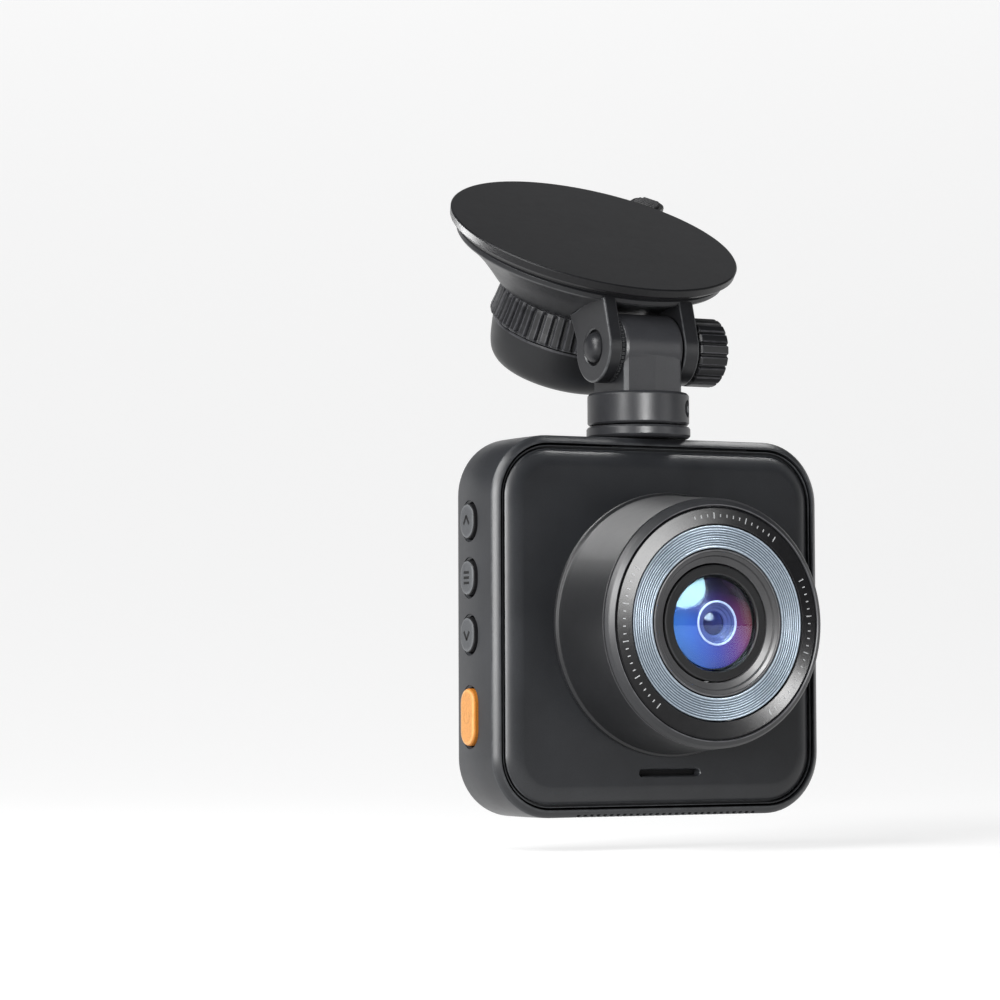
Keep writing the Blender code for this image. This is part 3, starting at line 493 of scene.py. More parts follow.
def lathe_bm(profile, fr, seg=128, closed=True, rfn=None):
    bm = bmesh.new()
    loops = []
    for r, h in profile:
        if r < 1e-6:
            loops.append([bm.verts.new(fr @ Vector((0, 0, h)))])
            continue
        row = []
        for k in range(seg):
            t = 2 * math.pi * k / seg
            rr = rfn(r, h, t) if rfn else r
            row.append(bm.verts.new(fr @ Vector((rr * math.cos(t), rr * math.sin(t), h))))
        loops.append(row)
    pairs = list(zip(loops, loops[1:]))
    if closed:
        pairs.append((loops[-1], loops[0]))
    for a, b in pairs:
        if len(a) == 1 and len(b) == 1:
            continue
        for k in range(seg):
            j = (k + 1) % seg
            if len(a) == 1:
                bm.faces.new((a[0], b[j], b[k]))
            elif len(b) == 1:
                bm.faces.new((a[k], a[j], b[0]))
            else:
                bm.faces.new((a[k], a[j], b[j], b[k]))
    if not closed:
        for row in (loops[0], loops[-1]):
            if len(row) > 1:
                bm.faces.new(row)
    bmesh.ops.recalc_face_normals(bm, faces=bm.faces)
    return bm


def rr(w, h, r, seg=14, cx=0.0, cz=0.0):
    pts = []
    r = max(r, 1e-3)
    for sx, sz, a0 in ((1, 1, 0), (-1, 1, 90), (-1, -1, 180), (1, -1, 270)):
        for k in range(seg + 1):
            t = math.radians(a0 + 90.0 * k / seg)
            pts.append((cx + sx * (w / 2 - r) + r * math.cos(t), cz + sz * (h / 2 - r) + r * math.sin(t)))
    return pts


def loft_bm(rows, fr, caps=True):
    bm = bmesh.new()
    loops = [[bm.verts.new(fr @ Vector((u, v, h))) for u, v in pts] for h, pts in rows]
    n = len(loops[0])
    for a, b in zip(loops, loops[1:]):
        for k in range(n):
            j = (k + 1) % n
            bm.faces.new((a[k], a[j], b[j], b[k]))
    if caps:
        bm.faces.new(loops[0])
        bm.faces.new(loops[-1])
    bmesh.ops.recalc_face_normals(bm, faces=bm.faces)
    return bm


def box_bm(x0, x1, y0, y1, z0, z1, fr=None):
    pts = [(x0, y0), (x1, y0), (x1, y1), (x0, y1)]
    return loft_bm([(z0, pts), (z1, pts)], fr or BODY)


def merge(bms):
    """Several separate solids as one bmesh."""
    out = bmesh.new()
    me = bpy.data.meshes.new("merge")
    for b in bms:
        b.to_mesh(me)
        out.from_mesh(me)
        b.free()
    bpy.data.meshes.remove(me)
    return out


def make(name, bm, mat, weld=True):
    if weld:
        bmesh.ops.remove_doubles(bm, verts=bm.verts, dist=1e-4)
    me = bpy.data.meshes.new(name)
    bm.to_mesh(me)
    bm.free()
    me.transform(TO_WORLD)
    me.materials.append(MAT[mat] if isinstance(mat, str) else mat)
    ob = bpy.data.objects.new(name, me)
    COL.objects.link(ob)
    return ob


def apply_mods(ob):
    bpy.context.view_layer.update()
    dg = bpy.context.evaluated_depsgraph_get()
    new = bpy.data.meshes.new_from_object(ob.evaluated_get(dg))
    ob.modifiers.clear()
    old = ob.data
    ob.data = new
    new.name = ob.name
    bpy.data.meshes.remove(old)


def cut(ob, bm, op="DIFFERENCE"):
    me = bpy.data.meshes.new("tool")
    bmesh.ops.recalc_face_normals(bm, faces=bm.faces)
    bm.to_mesh(me)
    bm.free()
    me.transform(TO_WORLD)
    tool = bpy.data.objects.new("tool", me)
    COL.objects.link(tool)
    mod = ob.modifiers.new("b", "BOOLEAN")
    mod.operation = op
    mod.solver = "EXACT"
    mod.object = tool
    apply_mods(ob)
    bpy.data.objects.remove(tool, do_unlink=True)
    bpy.data.meshes.remove(me)
    bm2 = bmesh.new()
    bm2.from_mesh(ob.data)
    bmesh.ops.remove_doubles(bm2, verts=bm2.verts, dist=2e-7)
    bmesh.ops.dissolve_degenerate(bm2, edges=bm2.edges, dist=1e-7)
    bm2.to_mesh(ob.data)
    bm2.free()


def bevel(ob, width, seg=2, angle=35):
    mod = ob.modifiers.new("v", "BEVEL")
    mod.width = width * 0.001
    mod.segments = seg
    mod.limit_method = "ANGLE"
    mod.angle_limit = math.radians(angle)
    mod.harden_normals = False
    apply_mods(ob)


def dress(ob, angle=38, weighted=True):
    """Smooth shading, an edge attribute for lighter edges (partly wear, partly painted highlight) and clean normals."""
    me = ob.data
    bm = bmesh.new()
    bm.from_mesh(me)
    bm.faces.ensure_lookup_table()
    val = [0.0] * len(bm.faces)
    for f in bm.faces:
        longest = max(e.calc_length() for e in f.edges)
        if longest < 1e-9:
            continue
        w = f.calc_area() / longest
        if w > 0.0011:
            continue
        best = 0.0
        for e in f.edges:
            if len(e.link_faces) == 2 and e.calc_length() > longest * 0.5 and e.is_convex:
                best = max(best, e.calc_face_angle(0.0))
        if best > math.radians(7.5):
            val[f.index] = min(1.0, (best - math.radians(7.5)) / math.radians(9)) * (1.0 - w / 0.0011)
    bm.free()
    at = me.attributes.get("edge_wear_and_highlight") or me.attributes.new("edge_wear_and_highlight", "FLOAT", "FACE")
    if len(at.data) == len(val):
        at.data.foreach_set("value", val)
    for p in me.polygons:
        p.use_smooth = True
    me.set_sharp_from_angle(angle=math.radians(angle))
    if weighted:
        mod = ob.modifiers.new("w", "WEIGHTED_NORMAL")
        mod.keep_sharp = True
        mod.weight = 50
        apply_mods(ob)
    return ob


def place(ob, body, slot, *nodes, angle=38, weighted=True):
    dress(ob, angle, weighted)
    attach(ob, body)
    if nodes:
        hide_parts(*nodes)
    return ob


# --------------------------------------------------------------------------
# rear housing
BW, BH = 75.5, 76.0


def outline(inset, r=12.5, seg=16):
    return rr(BW - 2 * inset, BH - 2 * inset, r - inset, seg)


rows = []
for t in range(0, 7):                                   # rounded back edge
    a = math.radians(90 * t / 6)
    rows.append((-8.3 + 1.3 * (1 - math.cos(a)), outline(1.35 - 1.35 * math.sin(a), 11.8)))
for t in range(1, 14):
    f = t / 14
    rows.append((-7.0 + 13.95 * f, rr(BW + 0.76 * math.sin(math.pi * f), BH, 11.8 + 0.7 * f, 16)))
for h, ins in ((6.95, 0.0), (7.12, 0.03), (7.26, 0.10), (7.60, 0.38), (7.94, 0.72), (8.24, 1.08), (8.38, 1.30),
               (8.42, 1.42), (8.40, 1.53), (8.28, 1.60)):
    rows.append((h, outline(ins, 12.5)))
shell = make("case_shell", loft_bm(rows, PLAN), "housing_plastic")
cut(shell, loft_bm([(-5.4, outline(1.6)), (12.0, outline(1.6))], PLAN))
cut(shell, loft_bm([(-12, rr(67.9, 68.4, 6.7, 10)), (-7.75, rr(67.9, 68.4, 6.7, 10)),
                    (-7.7, rr(67.5, 68.0, 6.5, 10)), (-7.1, rr(67.5, 68.0, 6.5, 10))], PLAN))
cut(shell, loft_bm([(-9, rr(57.5, 47.9, 1.5, 3, 0, SCREEN_Z)), (-4, rr(57.5, 47.9, 1.5, 3, 0, SCREEN_Z))], PLAN))
# foot slot in the top wall, boss beneath
cut(shell, box_bm(-9.5, 22.3, -5.6, 5.6, 32.4, 36.4), "UNION")
cut(shell, box_bm(-6.9, 8.0, MY - 4.5, MY + 4.5, 34.0, 36.3))
cut(shell, box_bm(-5.5, 8.0, MY - 3.4, MY + 3.4, 35.5, 39.0))
cut(shell, box_bm(6.6, 20.4, MY - 4.5, MY + 4.5, 34.0, 39.0))
BZ = {"up": 21.0, "menu": 9.7, "down": -1.65, "power": -18.0}
BY = 1.6
holes = []
for key, z in BZ.items():
    w, h, r = (6.6, 12.0, 3.28) if key == "power" else (6.5, 7.6, 3.2)
    holes.append(loft_bm([(-41, rr(w + 1.0, h + 1.0, r + 0.5, 12, BY, z)), (-37.75, rr(w + 0.7, h + 0.7, r + 0.35, 12, BY, z)),
                          (-37.45, rr(w, h, r, 12, BY, z)), (-34.5, rr(w, h, r, 12, BY, z))], SIDE))
cut(shell, merge(holes))
cut(shell, merge([
    loft_bm([(34.5, rr(1.4, 11.7, 0.5, 4, 1.7, -11.15)), (37.4, rr(1.4, 11.7, 0.5, 4, 1.7, -11.15)),
             (37.75, rr(2.0, 12.5, 0.8, 4, 1.7, -11.15)), (41, rr(2.0, 12.5, 0.8, 4, 1.7, -11.15))], SIDE),
    loft_bm([(34.5, rr(3.4, 8.4, 1.5, 8, -2.4, 10.0)), (37.3, rr(3.4, 8.4, 1.5, 8, -2.4, 10.0)),
             (37.75, rr(4.2, 9.2, 1.9, 8, -2.4, 10.0)), (41, rr(4.2, 9.2, 1.9, 8, -2.4, 10.0))], SIDE),
]))
ribs = []
for k in range(28):
    x = -18.6 + 1.5 * k
    ribs.append(box_bm(x - 0.38, x + 0.38, -8.6, -3.0, -38.8, -37.45))
cut(shell, merge(ribs))
place(shell, "camera", "housing_plastic", "rear_housing", angle=32)

# --------------------------------------------------------------------------
# front cover with its lip and soft edge
rows = [(6.2, outline(2.0)), (7.92, outline(2.0)), (8.03, outline(2.06)), (8.06, outline(2.14)),
        (8.03, outline(2.22)), (7.92, outline(2.28)), (6.9, outline(2.28)), (6.9, outline(2.70)),
        (7.45, outline(2.70)), (7.72, outline(2.70))]
for t in range(0, 15):                                  # even arc from a 46 degree edge to the flat
    a = math.radians(46 * (1 - t / 14))
    rows.append((9.30 - 5.0 * (1 - math.cos(a)), outline(2.70 + 3.6 * (1 - math.sin(a) / math.sin(math.radians(46))))))
cover = make("front_panel", loft_bm(rows, PLAN), "housing_plastic")
cut(cover, lathe_bm([(13, 3), (13, 12)], LENS, 64, closed=False))
cut(cover, loft_bm([(7.6, rr(13.4, 1.0, 0.48, 6, LX, -29.35)), (8.7, rr(13.8, 1.3, 0.62, 6, LX, -29.35)),
                    (9.12, rr(14.0, 1.55, 0.76, 6, LX, -29.35)), (9.31, rr(14.4, 1.9, 0.93, 6, LX, -29.35)),
                    (12, rr(14.4, 1.9, 0.93, 6, LX, -29.35))], PLAN))
place(cover, "camera", "housing_plastic", "front_cover", angle=40)
# painted shade: a black sheet on the slot floor stands for the dark inside of the opening
slot_floor = make("mic_slot_floor", loft_bm([(7.25, rr(13.8, 1.3, 0.6, 6, LX, -29.35)),
                                             (7.62, rr(13.8, 1.3, 0.6, 6, LX, -29.35))], PLAN), SLOT_SHADE_BLACK)
place(slot_floor, "camera", "housing_plastic")

# --------------------------------------------------------------------------
# barrel, trim, rings
barrel = make("barrel_shell", lathe_bm(fil([
    (25.6, 9.31), (26.35, 9.31, 0.2), (26.62, 9.75, 0.3), (26.5, 10.35, 0.35), (26.0, 10.75, 0.5), (25.85, 12.0, 0.6),
    (24.75, 26.3, 0.2), (24.35, 26.52, 0.1), (22.4, 26.52), (22.4, 12.5), (14.0, 11.2), (14.0, 9.35)],
    closed=True), LENS, 168), "barrel_plastic")
place(barrel, "camera", "barrel_plastic", "lens_barrel")
trim = make("rim_ring", lathe_bm(fil([
    (24.25, 26.66), (24.66, 26.74, 0.08), (24.72, 27.05, 0.12), (24.2, 27.85, 1.2), (23.28, 28.50, 0.12),
    (23.08, 28.3, 0.05), (23.08, 27.35), (20.3, 27.0), (20.3, 22.0), (22.0, 22.0), (22.0, 26.66)],
    closed=True), LENS, 168), "barrel_plastic")
place(trim, "camera", "gloss_black", "lens_trim_ring")
plate = make("face_ring", lathe_bm(fil([
    (22.92, 27.7), (22.92, 28.18, 0.12), (22.6, 28.30, 0.1), (19.55, 28.62, 0.1), (19.42, 28.5, 0.05),
    (19.42, 27.4), (20.6, 27.4), (20.9, 27.7)], closed=True), LENS, 168), "gloss_black")
place(plate, "camera", "gloss_black", "lens_face_plate")


def on_cone(r):
    return 28.30 + (22.6 - r) * (28.62 - 28.30) / (22.6 - 19.55)


ticks = []
for a0, a1, step in ((52, 104, 4.0), (150, 232, 4.0), (-56, 24, 4.0)):
    a = a0
    i = 0
    while a <= a1 + 1e-6:
        t = math.radians(a)
        r0, r1 = (20.55, 21.75) if i % 5 == 0 else (20.85, 21.45)
        hw = 0.10
        rows = []
        er, et = Vector((math.cos(t), math.sin(t))), Vector((-math.sin(t), math.cos(t)))
        quad = [er * r0 - et * hw, er * r1 - et * hw, er * r1 + et * hw, er * r0 + et * hw]
        for dh in (-0.05, 0.035):
            bmv = [(q.x, q.y) for q in quad]
            rows.append((dh, bmv))
        bm = bmesh.new()
        lo = [bm.verts.new(LENS @ Vector((q.x, q.y, on_cone(q.length) - 0.05))) for q in quad]
        hi = [bm.verts.new(LENS @ Vector((q.x, q.y, on_cone(q.length) + 0.03))) for q in quad]
        bm.faces.new(lo)
        bm.faces.new(hi)
        for k in range(4):
            j = (k + 1) % 4
            bm.faces.new((lo[k], lo[j], hi[j], hi[k]))
        bmesh.ops.recalc_face_normals(bm, faces=bm.faces)
        ticks.append(bm)
        a += step
        i += 1
tick = make("index_ticks", merge(ticks), TICK)
place(tick, "camera", "gloss_black", weighted=False)

prof = [(19.2, 26.6), (19.2, 28.42), (19.1, 28.52)]
n_groove = GROOVES
r0, r1 = GR0, GR1
for k in range(n_groove * 8 + 1):
    f = k / (n_groove * 8)
    ph = (k % 8) / 8 * 2 * math.pi
    prof.append((r0 + (r1 - r0) * f, 28.50 - 0.11 * (1 - math.cos(ph))))
prof += [(14.9, 28.52), (14.80, 28.44), (14.76, 28.3), (14.76, 26.6)]
grooved = make("grooved_dial", lathe_bm(prof, LENS, 168), "ring_metal")
place(grooved, "camera", "ring_metal", "grooved_ring", angle=60)
cone = make("cone_baffle", lathe_bm(fil([
    (14.45, 26.9), (14.45, 28.46, 0.08), (14.2, 28.50, 0.08), (14.02, 28.22, 0.1), (13.35, 28.02, 0.15),
    (13.1, 27.62, 0.15), (11.9, 27.28, 0.15), (11.75, 26.9), (11.75, 23.0), (13.05, 23.0), (13.35, 26.4)],
    closed=True), LENS, 128), "lens_black")
place(cone, "camera", "lens_black", "lens_inner_cone")
ret = make("retainer", lathe_bm(fil([
    (11.45, 25.4), (11.45, 27.55, 0.12), (11.2, 27.72, 0.1), (9.75, 27.72, 0.1), (9.55, 27.5, 0.1), (9.55, 25.4)],
    closed=True), LENS, 128), "lens_black")
place(ret, "camera", "lens_black", "lens_retainer_ring")


def dome(r, apex, sag, n=18):
    """Profile points of a spherical cap: height apex at the axis, lower by sag at radius r."""
    big = (r * r + sag * sag) / (2 * sag)
    return [(r * k / n, apex - big + math.sqrt(big * big - (r * k / n) ** 2)) for k in range(n + 1)]


glass = make("front_glass", lathe_bm(
    dome(9.42, 29.15, 2.05) + [(9.42, 26.6), (9.2, 26.5)] + dome(9.0, 28.65, 2.05)[::-1],
    LENS, 96, closed=False), "lens_glass")
place(glass, "camera", "lens_glass", "front_lens", angle=45)
coat = make("coated_element", lathe_bm(
    [(4.15, 27.95)] + [(a, b - 0.0) for a, b in dome(8.9, 28.30, 2.05) if a > 4.3] + [(8.9, 25.8), (4.15, 25.8)],
    LENS, 96), COATING_PAINTED_REFLECTION)
place(coat, "camera", "lens_glass", angle=45)
pr = make("pupil_ring_glow", lathe_bm(fil([
    (4.42, 27.6), (4.42, 27.98, 0.1), (4.2, 28.06, 0.1), (4.02, 27.98, 0.1), (4.02, 27.6)], closed=True), LENS, 96),
    PUPIL_RING)
place(pr, "camera", "lens_black")
pw = make("pupil_well", lathe_bm(fil([
    (4.12, 27.9), (4.12, 25.6), (2.1, 25.6), (2.1, 26.4), (2.35, 26.5, 0.05), (2.45, 26.75, 0.05), (2.95, 26.85, 0.05),
    (3.05, 27.15, 0.05), (3.5, 27.25, 0.05), (3.62, 27.55, 0.05), (3.95, 27.65, 0.05)], closed=True), LENS, 96),
    PUPIL_STEP)
place(pw, "camera", "lens_black", weighted=False)
pl = make("pupil_lens", lathe_bm(dome(2.3, 27.3, 0.75, 10) + [(2.3, 26.42), (0, 26.42)], LENS, 64, closed=False), PUPIL)
place(pl, "camera", "lens_glass", angle=45)

# --------------------------------------------------------------------------
# buttons
def symbol(name, shapes, z, x, mat, body, th=0.03):
    """Thin inlays on a button face; shapes are outlines in (y, z) offsets."""
    bms = []
    for pts in shapes:
        bms.append(loft_bm([(x - th, [(BY + a, z + b) for a, b in pts]), (x + 0.06, [(BY + a, z + b) for a, b in pts])], SIDE))
    ob = make(name, merge(bms), mat)
    place(ob, body, "button_grey", weighted=False)


def stroke(a, b, w):
    a, b = Vector(a), Vector(b)
    d = (b - a).normalized()
    n = Vector((-d.y, d.x)) * w / 2
    return [tuple(a - n), tuple(b - n), tuple(b + n), tuple(a + n)]


for key, z in BZ.items():
    power = key == "power"
    w, h, r = (6.0, 11.4, 2.99) if power else (5.9, 7.0, 2.94)
    out = 1.15 if power else 1.05
    x0 = -BW / 2 - out
    rows = []
    if power:
        prof = [(1.1, 0.0), (0.7, 0.03), (0.42, 0.09), (0.20, 0.20), (0.07, 0.36), (0.0, 0.58)]
    else:
        prof = [(0.75, 0.0), (0.48, 0.015), (0.30, 0.06), (0.17, 0.14), (0.08, 0.26), (0.0, 0.45)]
    for ins, dx in prof:
        rows.append((x0 + dx, rr(w - 2 * ins, h - 2 * ins, r - ins, 12, BY, z)))
    rows.append((-35.25, rr(w, h, r, 12, BY, z)))
    for ins, x in ((-0.5, -35.25), (-0.5, -34.65), (1.3, -34.65), (1.3, -34.1)):
        rows.append((x, rr(w - 2 * ins, h - 2 * ins, r - ins, 12, BY, z)))
    b = make("key_" + key + "_cap", loft_bm(rows, SIDE), "power_orange" if power else "button_grey")
    # the sides take the darker painted-shade copy of the plastic
    b.data.materials.append(ORANGE_SIDE_PAINTED_SHADE if power else BUTTON_SIDE_PAINTED_SHADE)
    top = (TO_WORLD @ Vector((x0 + (0.16 if power else 0.1), 0, 0))).x
    for p in b.data.polygons:
        if p.center.x > top:
            p.material_index = 1
    place(b, "key_" + key, "power_orange" if power else "button_grey", "button_" + key, angle=50)
    if key in ("up", "down"):
        s = 1 if key == "up" else -1
        tip, lft, rgt = (0, 1.05 * s), (-1.15, -0.65 * s), (1.15, -0.65 * s)
        symbol("icon_" + key, [stroke(lft, tip, 0.58), stroke(tip, rgt, 0.58)], z, x0, INK, "key_" + key)
    elif key == "menu":
        symbol("icon_menu", [stroke((-1.15, d), (1.15, d), 0.52) for d in (1.05, 0.0, -1.05)], z, x0, INK, "key_menu")
    else:
        arcs = []
        for k in range(20):
            a, c = (math.radians(90 + 38 + 284 * i / 20) for i in (k, k + 1.04))
            arcs.append(stroke((1.25 * math.cos(a), 1.25 * math.sin(a)), (1.25 * math.cos(c), 1.25 * math.sin(c)), 0.34))
        arcs.append(stroke((0, 0.45), (0, 1.75), 0.34))
        symbol("icon_power", arcs, z, x0, ORANGE_INK, "key_power", 0.02)

# --------------------------------------------------------------------------
# screen glass and picture
bez = make("screen_cover", loft_bm([
    (-7.35, rr(67.0, 67.5, 6.25, 12)), (-7.95, rr(67.0, 67.5, 6.25, 12)), (-8.08, rr(66.86, 67.36, 6.2, 12)),
    (-8.17, rr(66.6, 67.1, 6.1, 12)), (-8.2, rr(66.2, 66.7, 5.9, 12))], PLAN), "screen_glass_gloss")
cut(bez, loft_bm([(-9, rr(SCREEN_W, SCREEN_H, 0.6, 4, 0, SCREEN_Z)), (-8.17, rr(SCREEN_W, SCREEN_H, 0.6, 4, 0, SCREEN_Z))], PLAN))
place(bez, "camera", "screen_glass_gloss", "screen_glass", angle=40)
pic = make("screen_picture", loft_bm([
    (-8.165, rr(SCREEN_W - 0.04, SCREEN_H - 0.04, 0.6, 4, 0, SCREEN_Z)),
    (-8.195, rr(SCREEN_W - 0.04, SCREEN_H - 0.04, 0.6, 4, 0, SCREEN_Z))], PLAN), "screen_lit")
place(pic, "camera", "screen_lit", weighted=False)

# --------------------------------------------------------------------------
# mount foot and flange
foot = make("foot_flange", lathe_bm(fil([
    (0, 47.0), (4.7, 47.0, 0.2), (5.1, 46.6, 0.2), (5.1, 45.9), (3.9, 45.9), (3.9, 42.9), (5.1, 42.9), (5.1, 40.85),
    (9.6, 40.85, 0.2), (10.35, 40.75, 0.25), (10.62, 40.35, 0.2), (10.62, 38.95, 0.3), (10.2, 38.5, 0.2), (9.6, 38.32, 0.1),
    (0, 38.32)]), SWIVEL, 128, closed=False), "mount_plastic")
cut(foot, box_bm(-5.2, 5.2, MY - 3.1, MY + 3.1, 34.8, 39.4), "UNION")
cut(foot, box_bm(-6.6, 6.0, MY - 4.2, MY + 4.2, 34.3, 36.0), "UNION")
place(foot, "foot", "mount_plastic", "mount_foot")

# neck: collar, block with a parting ridge, knuckle
neck = make("neck_collar", lathe_bm(fil([
    (0, 47.75), (9.2, 47.75, 0.1), (9.95, 47.66, 0.35), (10.4, 47.15, 0.35), (10.4, 41.55, 0.3),
    (10.05, 41.15, 0.2), (9.3, 41.08, 0.1), (0, 41.08)]), SWIVEL, 128, closed=False), "mount_plastic")


def block_outline(grow=0.0):
    f = -6.72                                              # front face, ridge slightly proud
    pts = [(5.95, f + 0.0), (6.62, f + 0.62), (6.72, f + 0.9), (6.72, 6.3), (6.15, 6.95), (-6.15, 6.95), (-6.72, 6.3),
           (-6.72, f + 0.9), (-6.62, f + 0.62), (-5.95, f + 0.0), (0.12, f - 0.20), (0.28, f - 0.20)]
    return [(x + (grow if x > 0 else -grow), y + MY) for x, y in pts]


block = loft_bm([(45.5, block_outline()), (56.8, block_outline())], BODY)
cut(neck, block, "UNION")
knuckle = lathe_bm(fil([
    (0, -6.8), (6.4, -6.8, 0.1), (6.95, -6.55, 0.3), (7.15, -5.95, 0.3), (7.15, 5.95, 0.3), (6.95, 6.55, 0.3),
    (6.4, 6.8, 0.1), (0, 6.8)]), PIVOT, 96, closed=False)
cut(neck, knuckle, "UNION")
cut(neck, lathe_bm([(5.4, 39.0), (5.4, 47.4)], SWIVEL, 48, closed=False))
cut(neck, lathe_bm([(2.2, -9), (2.2, 9)], PIVOT, 48, closed=False))
AZ = math.radians(-44)
PIN = basis((0, MY, 44.4), (-math.sin(AZ), math.cos(AZ), 0), (0, 0, 1), (math.cos(AZ), math.sin(AZ), 0))
cut(neck, lathe_bm([(1.5, 4.0), (1.5, 9.9), (1.85, 10.45), (1.85, 12)], PIN, 48, closed=False))
place(neck, "neck", "mount_plastic", "swivel_neck", angle=30)

# --------------------------------------------------------------------------
# suction holder: bell and ears
bell_curve = curve_through([(27.95, -4.95), (26.0, -6.2), (23.2, -8.3), (20.6, -10.7), (18.4, -12.9), (17.1, -13.78)], 5)
bell = make("holder_bell", lathe_bm(
    fil([(26.8, -3.2), (28.35, -3.2, 0.15), (28.7, -3.55, 0.15), (28.7, -4.35, 0.3), (28.3, -4.8, 0.2)]) + bell_curve +
    fil([(16.6, -13.75), (9.2, -13.5), (9.0, -21.6), (3.4, -21.6), (3.4, -8.6), (11.0, -8.2), (24.5, -4.4), (26.8, -3.3)]),
    CUP, 144), "mount_plastic")


def to_side(e, h):
    p = CUP @ Vector((0, e, h))
    return (p.y, p.z)


ear = [to_side(-27.6, -3.5)]
for k in range(13):
    t = k / 12
    y = 2.5 + (10.3 - 2.5) * t
    z = 67.5 + (64.7 - 67.5) * t - 0.75 * 4 * t * (1 - t)
    ear.append((y, z))
for k in range(41):
    t = math.radians(14 - k * (206.0 / 40))
    ear.append((MY + 7.15 * math.cos(t), 56.8 + 7.15 * math.sin(t)))


def inset_outline(pts, d):
    n = len(pts)
    area = sum(pts[i][0] * pts[(i + 1) % n][1] - pts[(i + 1) % n][0] * pts[i][1] for i in range(n))
    s = 1 if area > 0 else -1
    out = []
    for i in range(n):
        a, b, c = Vector(pts[i - 1]), Vector(pts[i]), Vector(pts[(i + 1) % n])
        u, v = (b - a).normalized(), (c - b).normalized()
        nu, nv = Vector((-u.y, u.x)) * s, Vector((-v.y, v.x)) * s
        nn = nu + nv
        if nn.length < 1e-6:
            nn = nu
        nn.normalize()
        k = 1.0 / max(0.5, nn.dot(nu))
        q = b + nn * d * k
        out.append((q.x, q.y))
    return out


def ear_bm(x0, x1):
    """Flat lug between x0 and x1 with a rounded edge on both faces."""
    s = 1 if x1 > x0 else -1
    rows = []
    for ins, dx in ((0.42, 0.0), (0.26, 0.03), (0.12, 0.12), (0.03, 0.26), (0.0, 0.42)):
        rows.append((x0 + s * dx, inset_outline(ear, ins) if ins else ear))
    for ins, dx in ((0.0, 0.25), (0.03, 0.15), (0.10, 0.05), (0.22, 0.0)):
        rows.append((x1 - s * dx, inset_outline(ear, ins) if ins else ear))
    return loft_bm(rows, SIDE)


cut(bell, merge([ear_bm(-10.5, -7.65), ear_bm(10.5, 7.1)]), "UNION")
cut(bell, lathe_bm([(2.2, -14), (2.2, 14)], PIVOT, 48, closed=False))
cut(bell, lathe_bm([(3.95, -14), (3.95, -10.42), (3.72, -10.2), (3.72, -9.3)], PIVOT, 64, closed=False))
cut(bell, lathe_bm([(5.2, 9.6), (5.2, 14)], PIVOT, 64, closed=False))
place(bell, "holder", "mount_plastic", "cup_frame", angle=30)

pad = make("suction_pad", lathe_bm(fil([
    (0, 0), (30.55, 0, 0.16), (30.82, -0.28, 0.14), (30.62, -1.75, 0.3), (29.9, -2.35, 0.25), (29.2, -2.55, 0.1), (29.0, -2.98, 0.1),
    (26.5, -3.0), (22.0, -2.9), (8.0, -3.9), (5.6, -5.2), (0, -5.2)]), CUP, 192, closed=False), "cup_rubber")
TA = math.radians(43.3)
TAB = basis(FACE, CUP.to_3x3() @ Vector((math.cos(TA), math.sin(TA), 0)),
            CUP.to_3x3() @ Vector((-math.sin(TA), math.cos(TA), 0)), CUP.to_3x3() @ Vector((0, 0, 1)))


def tab_outline(ins):
    pts = [(27.5, -3.6 + ins), (34.6, -3.6 + ins)]
    for k in range(1, 12):
        a = math.radians(-90 + 180 * k / 12)
        pts.append((34.6 + (3.6 - ins) * math.cos(a), (3.6 - ins) * math.sin(a)))
    return pts + [(34.6, 3.6 - ins), (27.5, 3.6 - ins)]


cut(pad, loft_bm([(-2.3, tab_outline(0.35)), (-2.15, tab_outline(0.1)), (-1.9, tab_outline(0)), (-0.95, tab_outline(0)),
                  (-0.67, tab_outline(0.1)), (-0.55, tab_outline(0.35))], TAB), "UNION")
place(pad, "holder", "cup_rubber", "suction_cup", angle=35)
ribs = []
for k in range(5):
    u0 = 31.9 + 1.1 * k
    half = 2.7 if k < 3 else (2.5 if k == 3 else 1.9)
    ribs.append(loft_bm([(-0.63, rr(0.62, 2 * half, 0.3, 5, u0, 0)), (-0.25, rr(0.56, 2 * half - 0.06, 0.27, 5, u0, 0)),
                         (-0.08, rr(0.34, 2 * half - 0.28, 0.16, 5, u0, 0))], TAB))
rb = make("tab_ribs", merge(ribs), "cup_rubber")
place(rb, "holder", "cup_rubber")


# twist ring with 30 raised lands, then its cap
def wave(t, count, land, soft):
    """0 on a land, 1 in a groove; land is the share of the pitch, soft the flank share."""
    f = (t / (2 * math.pi) * count) % 1.0
    d = abs(f - 0.5)                                        # 0 mid-groove .. 0.5 mid-land
    g0 = (1 - land) / 2
    if d <= g0 - soft:
        return 1.0
    if d >= g0:
        return 0.0
    return (g0 - d) / soft


def knurl(r, h, t):
    if r < 15.2:
        return r
    fade = min(1.0, max(0.0, (-14.1 - h) / 0.5)) * min(1.0, max(0.0, (h + 20.95) / 0.35))
    return r - 0.8 * wave(t, 42, 0.60, 0.12) * fade


